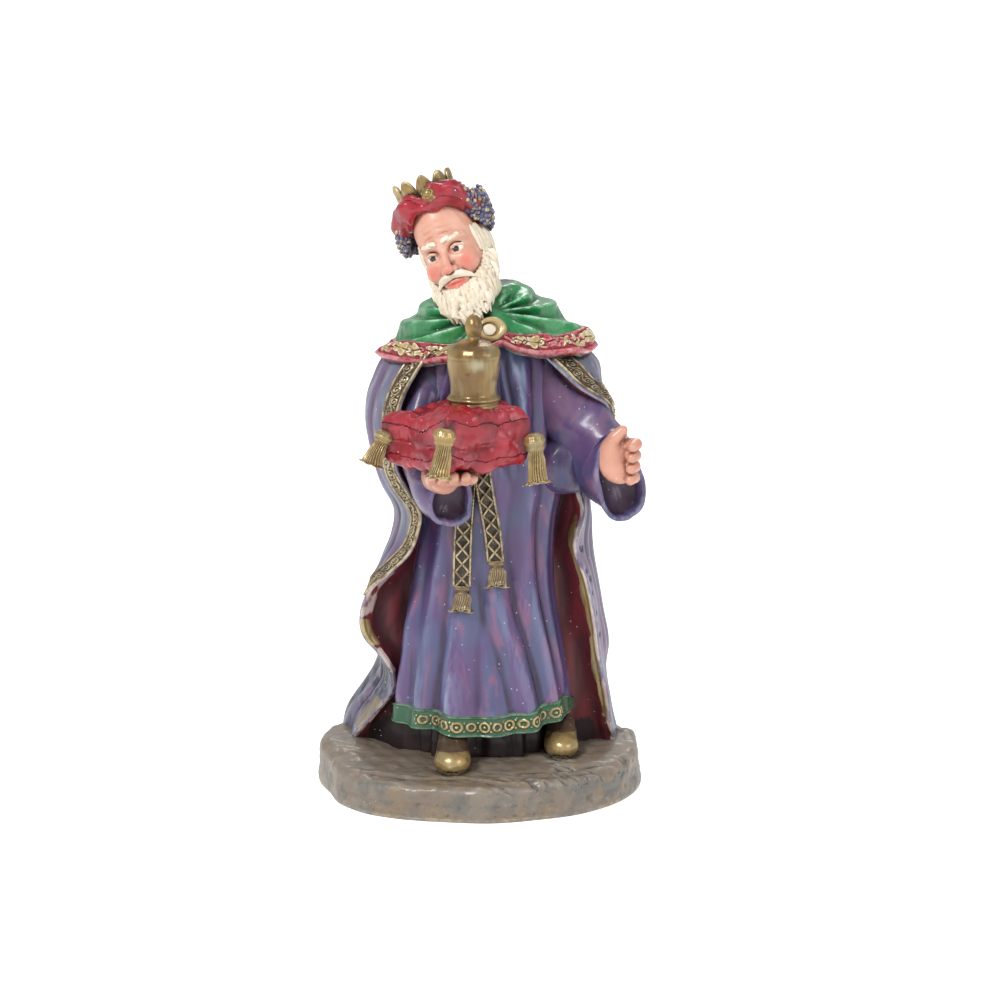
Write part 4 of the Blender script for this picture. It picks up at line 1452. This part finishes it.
def make_beard():
    clay = Clay((-9.5, -14, -18), (9.5, 2.5, 4), 0.125)
    clay.ball((0.2, -2.1, -8.5), (5.8, 5.1, 4.3), 0.4)
    clay.ball((0, -8.0, -4.6), (3.4, 3.2, 2.5), 0.8, cut=True)
    rng = np.random.default_rng(5)
    for row, (drop, out, count) in enumerate(((0.3, 0.95, 31), (-0.9, 1.03, 30), (-2.2, 1.07, 28),
                                              (-3.5, 1.05, 26), (-4.9, 0.96, 22))):
        for i in range(count):
            angle = math.radians(-101 + 202 * (i + 0.5 * (row % 2)) / (count - 1))
            forward = max(math.cos(angle), 0)
            height = -1.6 - 5.3 * forward**0.75 + drop * (0.55 + 0.45 * forward)
            root = (5.6 * math.sin(angle) * out, -0.4 - 6.8 * forward * out, height)
            fall = (-0.5 * math.sin(angle) + rng.normal(0, 0.25), -0.9 * forward,
                    -3.0 - 0.9 * forward + rng.normal(0, 0.35))
            bend = (rng.normal(0, 0.5), -0.40 * forward, rng.normal(0, 0.15))
            lock(clay, root, fall, bend, 0.56 + rng.normal(0, 0.06))
    for side in (-1, 1):
        for i, lift in enumerate((0.45, 0.15, -0.2)):
            start = (0.22 * side, -7.45 + 0.12 * i, -4.25 + lift * 0.5)
            lock(clay, start, ((3.1 + 0.2 * i) * side, 1.2, -1.0 - 0.25 * i), (0, -0.45, 0.5),
                 0.50 - 0.03 * i)
        for i in range(15):
            start = ((4.95 + 0.19 * i - 0.008 * i * i) * side, -2.0 + 0.36 * i,
                     2.7 - 0.1 * i + 0.3 * math.sin(5 * i))
            lock(clay, start, (0.3 * side, 0.15 * math.sin(3 * i), -4.8),
                 (0.15 * side, -0.2 * math.sin(4 * i), 0), 0.5)
    points, quads = clay.skin()
    points[:, 2] = np.where(points[:, 2] < -9.5, 0.68 * points[:, 2] - 3.04, points[:, 2])
    form = Form()
    form.add(placed(points, HEAD), [quads])
    clay = Clay((-6, -9, 0.5), (6, -3, 4.5), 0.11)
    for side in (-1, 1):
        for i in range(6):
            start = np.array((0.8 + 0.5 * i, -7.12 + 0.14 * i + 0.06 * i * i, 2.15 + 0.15 * math.sin(2 * i)))
            fall = np.array((1.0, 0.35 + 0.04 * i, 0.15 - 0.1 * i))
            lock(clay, start * (side, 1, 1), fall * (side, 1, 1), (0, -0.10, 0.22), 0.44)
    points, quads = clay.skin()
    form.add(placed(points, HEAD), [quads])
    piece("beard", form, painted("hair_ivory", IVORY, ridge=0.07, bump=0.2, glints=0.4), blur=12)


def make_hair():
    clay = Clay((-9, -3, -12), (9, 11, 6), 0.15)
    clay.ball((0, 2.8, -1.6), (5.4, 4.9, 6.4), 0.4)
    rng = np.random.default_rng(8)
    for row in range(4):
        for i in range(19):
            angle = math.radians(-95 + 190 * (i + 0.5 * (row % 2)) / 18)
            root = (5.2 * math.sin(angle), 2.7 + 4.8 * math.cos(angle), 2.6 - 2.2 * row)
            fall = (-0.35 * math.sin(angle) + rng.normal(0, 0.2), -0.2 * math.cos(angle),
                    -3.4 + rng.normal(0, 0.2))
            lock(clay, root, fall, (rng.normal(0, 0.25), 0.3 * math.cos(angle), 0), 0.72)
    points, quads = clay.skin()
    form = Form()
    form.add(placed(points, HEAD), [quads])
    piece("hair", form, painted("nape_ivory", IVORY, ridge=0.07, bump=0.2, glints=0.4), blur=12)


def turban_point(turns, around):
    front, rear = np.maximum(np.cos(turns), 0), np.maximum(-np.cos(turns), 0)
    twist = around + 1.6 * turns
    at = np.stack([6.5 * np.sin(turns) + 0 * around, -6.5 * np.cos(turns) + 2 * np.cos(around),
                   2.4 * np.sin(around) + 0 * turns], axis=-1)
    fold = 0.55 * np.abs(np.sin(1.5 * twist + 1.1 * lump(at, 3.4, 121))) ** 0.8
    fold = fold + 0.06 * np.abs(np.sin(5 * twist + 1.7 * turns))
    knot = np.exp(-(((turns - TURBAN_KNOT_AT) / 0.17) ** 2))
    left = np.exp(-(((turns + 1.6) / 0.55) ** 2))
    right = np.exp(-(((turns - 1.45) / 0.45) ** 2))
    thick = 2.1 - 0.6 * front + 0.20 * np.sin(TURBAN_PUFFS * turns) + fold
    thick = thick + 0.32 * lump(at, 2.2, 123) + 0.12 * lump(at, 1.0, 125)
    thick = thick * (1 - 0.45 * knot) * (1 - 0.38 * left) * (1 - 0.2 * right)
    rise = 4.4 * np.where(turns < 0, front**2.4, front**1.3) - 0.8 * knot
    height = 5.6 + rise - 0.9 * rear + 1.5 * np.exp(-(((turns - 0.95) / 0.45) ** 2))
    middle = np.stack([6.8 * np.sin(turns) - 1.1, 0.6 - 6.2 * np.cos(turns), height], axis=-1)
    out = np.stack([np.sin(turns), -np.cos(turns), 0.25 * front], axis=-1)
    points = middle + out * (thick * np.cos(around))[..., None]
    points[..., 2] += 1.3 * thick * np.sin(around)
    return points


def make_turban():
    around = np.linspace(0, TAU, 190, endpoint=False)[None]
    form = Form()
    points = turban_point(np.linspace(-math.pi, math.pi, 460, endpoint=False)[:, None], around)
    form.grid(placed(points, TURBAN), around=True, along=True)
    polar = np.linspace(0.02, math.pi / 2, 60)[:, None]
    dome = np.stack([5.4 * np.sin(polar) * np.cos(around) - 0.4, 5.6 * np.sin(polar) * np.sin(around) + 1.3,
                     8.0 + 4.6 * np.cos(polar) + 0 * around], axis=-1)
    dome = (dome + (0.2 * np.abs(np.sin(9 * around)) * np.sin(polar))[..., None]
            * unit(dome - (-0.4, 1.3, 8.0)))
    floor = dome[-1:] * (1, 1, 0) + (0, 0, 6.5)
    form.grid(placed(np.concatenate([dome, floor]), TURBAN), around=True, caps=True)
    piece("turban", form, painted("turban_crimson", CRIMSON, ridge=0.12, bump=0.25, glints=1.4, coat=0.4),
          blur=18)


def ball_points(centre, radius, rows=18, columns=26, flatten=1.0):
    polar = np.linspace(0.05, math.pi - 0.05, rows)[:, None]
    around = np.linspace(0, TAU, columns, endpoint=False)[None]
    way = np.stack([np.sin(polar) * np.cos(around), np.sin(polar) * np.sin(around),
                    np.cos(polar) + 0 * around], axis=-1)
    return np.array(centre) + radius * way * (1, 1, flatten)


def make_headdress():
    turns = np.linspace(-math.pi, math.pi, 300, endpoint=False)[:, None]
    around = np.linspace(0, TAU, 48, endpoint=False)[None]

    def band(angle, over):
        """Points of the band: over is the angle round its own section."""
        front, rear = np.maximum(np.cos(angle), 0), np.maximum(-np.cos(angle), 0)
        swell = np.exp(-(((angle - BAND_SWELL_AT) / 0.7) ** 2))
        left = np.exp(-(((angle + 1.6) / 0.5) ** 2))
        thick = (1.1 + 0.1 * np.sin(24 * angle)) * (1 - 0.5 * front)
        tall = 1.2 * thick * (1 + 1.7 * swell + 0.9 * left)
        radius = 7.7 - 2.2 * front + 0.9 * left
        height = 2.6 + 7.0 * front**1.5 - 0.6 * rear + 3.0 * swell + 0.8 * left
        x = radius * np.sin(angle) - 0.5 + np.sin(angle) * thick * np.cos(over)
        y = 1.3 - (radius - 1.5) * np.cos(angle) - np.cos(angle) * thick * np.cos(over)
        return np.stack([x, y, height + tall * np.sin(over)], axis=-1)

    form = Form()
    form.grid(placed(band(turns, around), TURBAN), around=True, along=True)
    count = 78
    for row, over in enumerate((-1.3, -0.95, -0.6, -0.25, 0.1, 0.45, 0.8, 1.15, 1.5)):
        for i in range(count):
            angle = TAU * (i + 0.5 * (row % 2)) / count - math.pi
            if math.cos(angle) > 0.5:
                continue
            radius = 0.36 if row % 3 else 0.43
            gilt = 1.0 if (i * 7 + row * 5) % 9 < 3 else 0.0
            bead = ball_points(band(np.array(angle), np.array(over)), radius, 8, 12)
            form.grid(placed(bead, TURBAN), around=True, caps=True, gilt=gilt)
    for first, last, low, high in ((1.0, 1.9, -0.5, 1.1), (-2.0, -1.0, -1.75, -0.25)):
        turns = np.arange(first, last, 0.098)
        overs = np.arange(low, high, 0.33)
        for i, turn in enumerate(turns):
            for j, over in enumerate(overs):
                if (i + 2 * j) % 11 == 5:
                    continue
                at = turban_point(np.array([[turn + 0.05 * (j % 2)]]),
                                  np.array([[over + 0.04 * math.sin(5 * i)]]))
                gilt = 1.0 if (i * 7 + j * 5) % 9 < 3 else 0.0
                bead = ball_points(at[0, 0], 0.40 + 0.08 * math.sin(3 * i + 7 * j), 8, 12)
                form.grid(placed(bead, TURBAN), around=True, caps=True, gilt=gilt)
    piece("beaded_band", form, painted("band_paint", PLUM, ("gilt", AGED_GOLD), ridge=0.10, glints=2.0),
          blur=6)

    around = np.linspace(-math.pi, math.pi, 720, endpoint=False)
    tall = CROWN_TIP - CROWN_FOOT
    leaf = np.abs(np.sin(0.5 * CROWN_POINTS * around))
    top = CROWN_FOOT + 0.7 + tall * (0.5 + 0.5 * leaf**0.7)
    wall = []
    for share in np.concatenate([np.linspace(0, 0.97, 40), [0.99]]):
        height = CROWN_FOOT + 0.2 + (top - CROWN_FOOT - 0.2) * share
        radius = CROWN_RADIUS + 0.35 + 0.05 * (height - CROWN_FOOT)
        between = np.abs(np.cos(0.5 * CROWN_POINTS * around))
        rib = 0.05 * np.exp(-((between / 0.3) ** 2)) * smooth_step(0.3, 0.6, share)
        dent = -0.35 * np.exp(-((leaf / 0.3) ** 2)) * smooth_step(0.2, 0.8, share)
        rim = 0.05 * np.exp(-(((share - 0.93) / 0.05) ** 2))
        at = np.stack([6 * np.sin(around), 6 * np.cos(around), height], axis=-1)
        wall.append((radius + rib + dent + rim + 0.12 * lump(at, 1.3, 131), height))
    inner = [(CROWN_RADIUS - 0.30 + 0.05 * (h - CROWN_FOOT) + 0 * around, h) for _, h in reversed(wall)]
    rows = wall + [((wall[-1][0] + inner[0][0]) / 2, top + 0.05)] + inner
    nod = CROWN_NOD * np.cos(around)
    points = [np.stack([CROWN_CENTRE[0] + r * np.sin(around), CROWN_CENTRE[1] - r * np.cos(around),
                        h + nod], axis=-1) for r, h in rows]
    form = Form()
    points = np.swapaxes(np.array(points), 0, 1)
    form.grid(placed(points, CROWN), around=True, along=True, bright=0.5 + 0.5 * lump(points, 2.0, 133))
    turn = np.linspace(0, TAU, 90, endpoint=False)
    profile = [(0.0, 0.95), (0.4, 0.88), (0.68, 0.62), (0.8, 0.42), (0.9, 0.5), (1.05, 0.42), (1.12, 0.2),
               (1.15, -0.9), (0, -0.9)]
    profile = through(np.column_stack([np.linspace(0, 1, len(profile)), profile]), np.linspace(0, 1, 50))
    petals = 1 + 0.06 * np.sin(7 * turn) * smooth_step(0.7, 1.0, profile[:, :1])
    radius = profile[:, :1] * petals
    rosette = np.stack([radius * np.cos(turn), -profile[:, 1:] + 0 * turn, radius * np.sin(turn)], axis=-1)
    place = TURBAN @ Matrix.Translation((0.7, -7.3, 11.0)) @ Matrix.Rotation(-0.5, 4, "X")
    form.grid(placed(rosette, place), around=True, caps=True)
    for side in (-1, 1):
        form.grid(placed(ball_points((6.0 * side, -0.4, -3.3), 0.62), HEAD), around=True, caps=True)
    piece("crown", form, painted("crown_gold", GOLD, ("bright", BRASS), ridge=0.06, bump=0.35), blur=10)


# Set

AMBIENT = 0.55
FLOOR_GLOW = 0.25
FLOOR_SEEN = 0.65  # what the camera sees of the glow


def make_set():
    mesh = bpy.data.meshes.new("floor")
    side = 3.0
    corners = [(-side, -side, 0), (side, -side, 0), (side, side, 0), (-side, side, 0)]
    mesh.from_pydata(corners, [], [(0, 1, 2, 3)])
    floor = bpy.data.objects.new("floor", mesh)
    bpy.context.scene.collection.objects.link(floor)
    material = bpy.data.materials.new("pale_floor")
    material.use_nodes = True
    shader = material.node_tree.nodes["Principled BSDF"]
    shader.inputs["Base Color"].default_value = (0.92, 0.92, 0.92, 1)
    shader.inputs["Roughness"].default_value = 0.8
    shader.inputs["Emission Color"].default_value = (1, 1, 1, 1)
    seen = material.node_tree.nodes.new("ShaderNodeLightPath").outputs["Is Camera Ray"]
    glow = material.node_tree.nodes.new("ShaderNodeMix")
    glow.inputs[2].default_value = FLOOR_GLOW
    glow.inputs[3].default_value = FLOOR_SEEN
    material.node_tree.links.new(seen, glow.inputs[0])
    material.node_tree.links.new(glow.outputs[0], shader.inputs["Emission Strength"])
    mesh.materials.append(material)
    floor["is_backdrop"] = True
    world = bpy.data.worlds.new("studio")
    world.use_nodes = True
    tree = world.node_tree
    tree.nodes["Background"].inputs["Color"].default_value = (1.0, 1.0, 1.0, 1)
    seen = tree.nodes.new("ShaderNodeLightPath").outputs["Is Camera Ray"]
    strength = tree.nodes.new("ShaderNodeMix")
    strength.inputs[2].default_value = AMBIENT
    strength.inputs[3].default_value = 1.05
    tree.links.new(seen, strength.inputs[0])
    tree.links.new(strength.outputs[0], tree.nodes["Background"].inputs["Strength"])
    bpy.context.scene.world = world
    for name, place, size, power in (
        ("key", (-0.55, -0.75, 0.85), 0.30, 8.0), ("fill", (0.8, -0.6, 0.5), 0.5, 2.6),
        ("rim", (0.1, 0.8, 0.9), 0.5, 3.5),
    ):
        light = bpy.data.lights.new(name, "AREA")
        light.size = size
        light.energy = power
        holder = bpy.data.objects.new(name, light)
        holder.location = place
        holder.rotation_euler = (Vector((0, 0, 0.06)) - Vector(place)).to_track_quat("-Z", "Y").to_euler()
        bpy.context.scene.collection.objects.link(holder)
    camera = bpy.data.cameras.new("camera")
    camera.lens = 110
    camera.sensor_width = 36
    camera.clip_start = 0.01
    holder = bpy.data.objects.new("camera", camera)
    holder.location = (0.0034, -0.548, 0.162)
    holder.rotation_euler = (math.radians(90 - 11.2), 0, 0)
    bpy.context.scene.collection.objects.link(holder)
    bpy.context.scene.camera = holder
    bpy.context.scene.view_settings.view_transform = "Standard"


make_rock()
make_robe()
make_cloak()
make_trims()
make_cape()
make_sleeves()
make_girdle()
make_cushion()
make_jar()
make_hands()
make_shoes()
make_face()
make_eyes()
make_beard()
make_hair()
make_turban()
make_headdress()
find_crevices()
thin_out()
make_set()

boxes = {"cad": cad_box, "visual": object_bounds()}
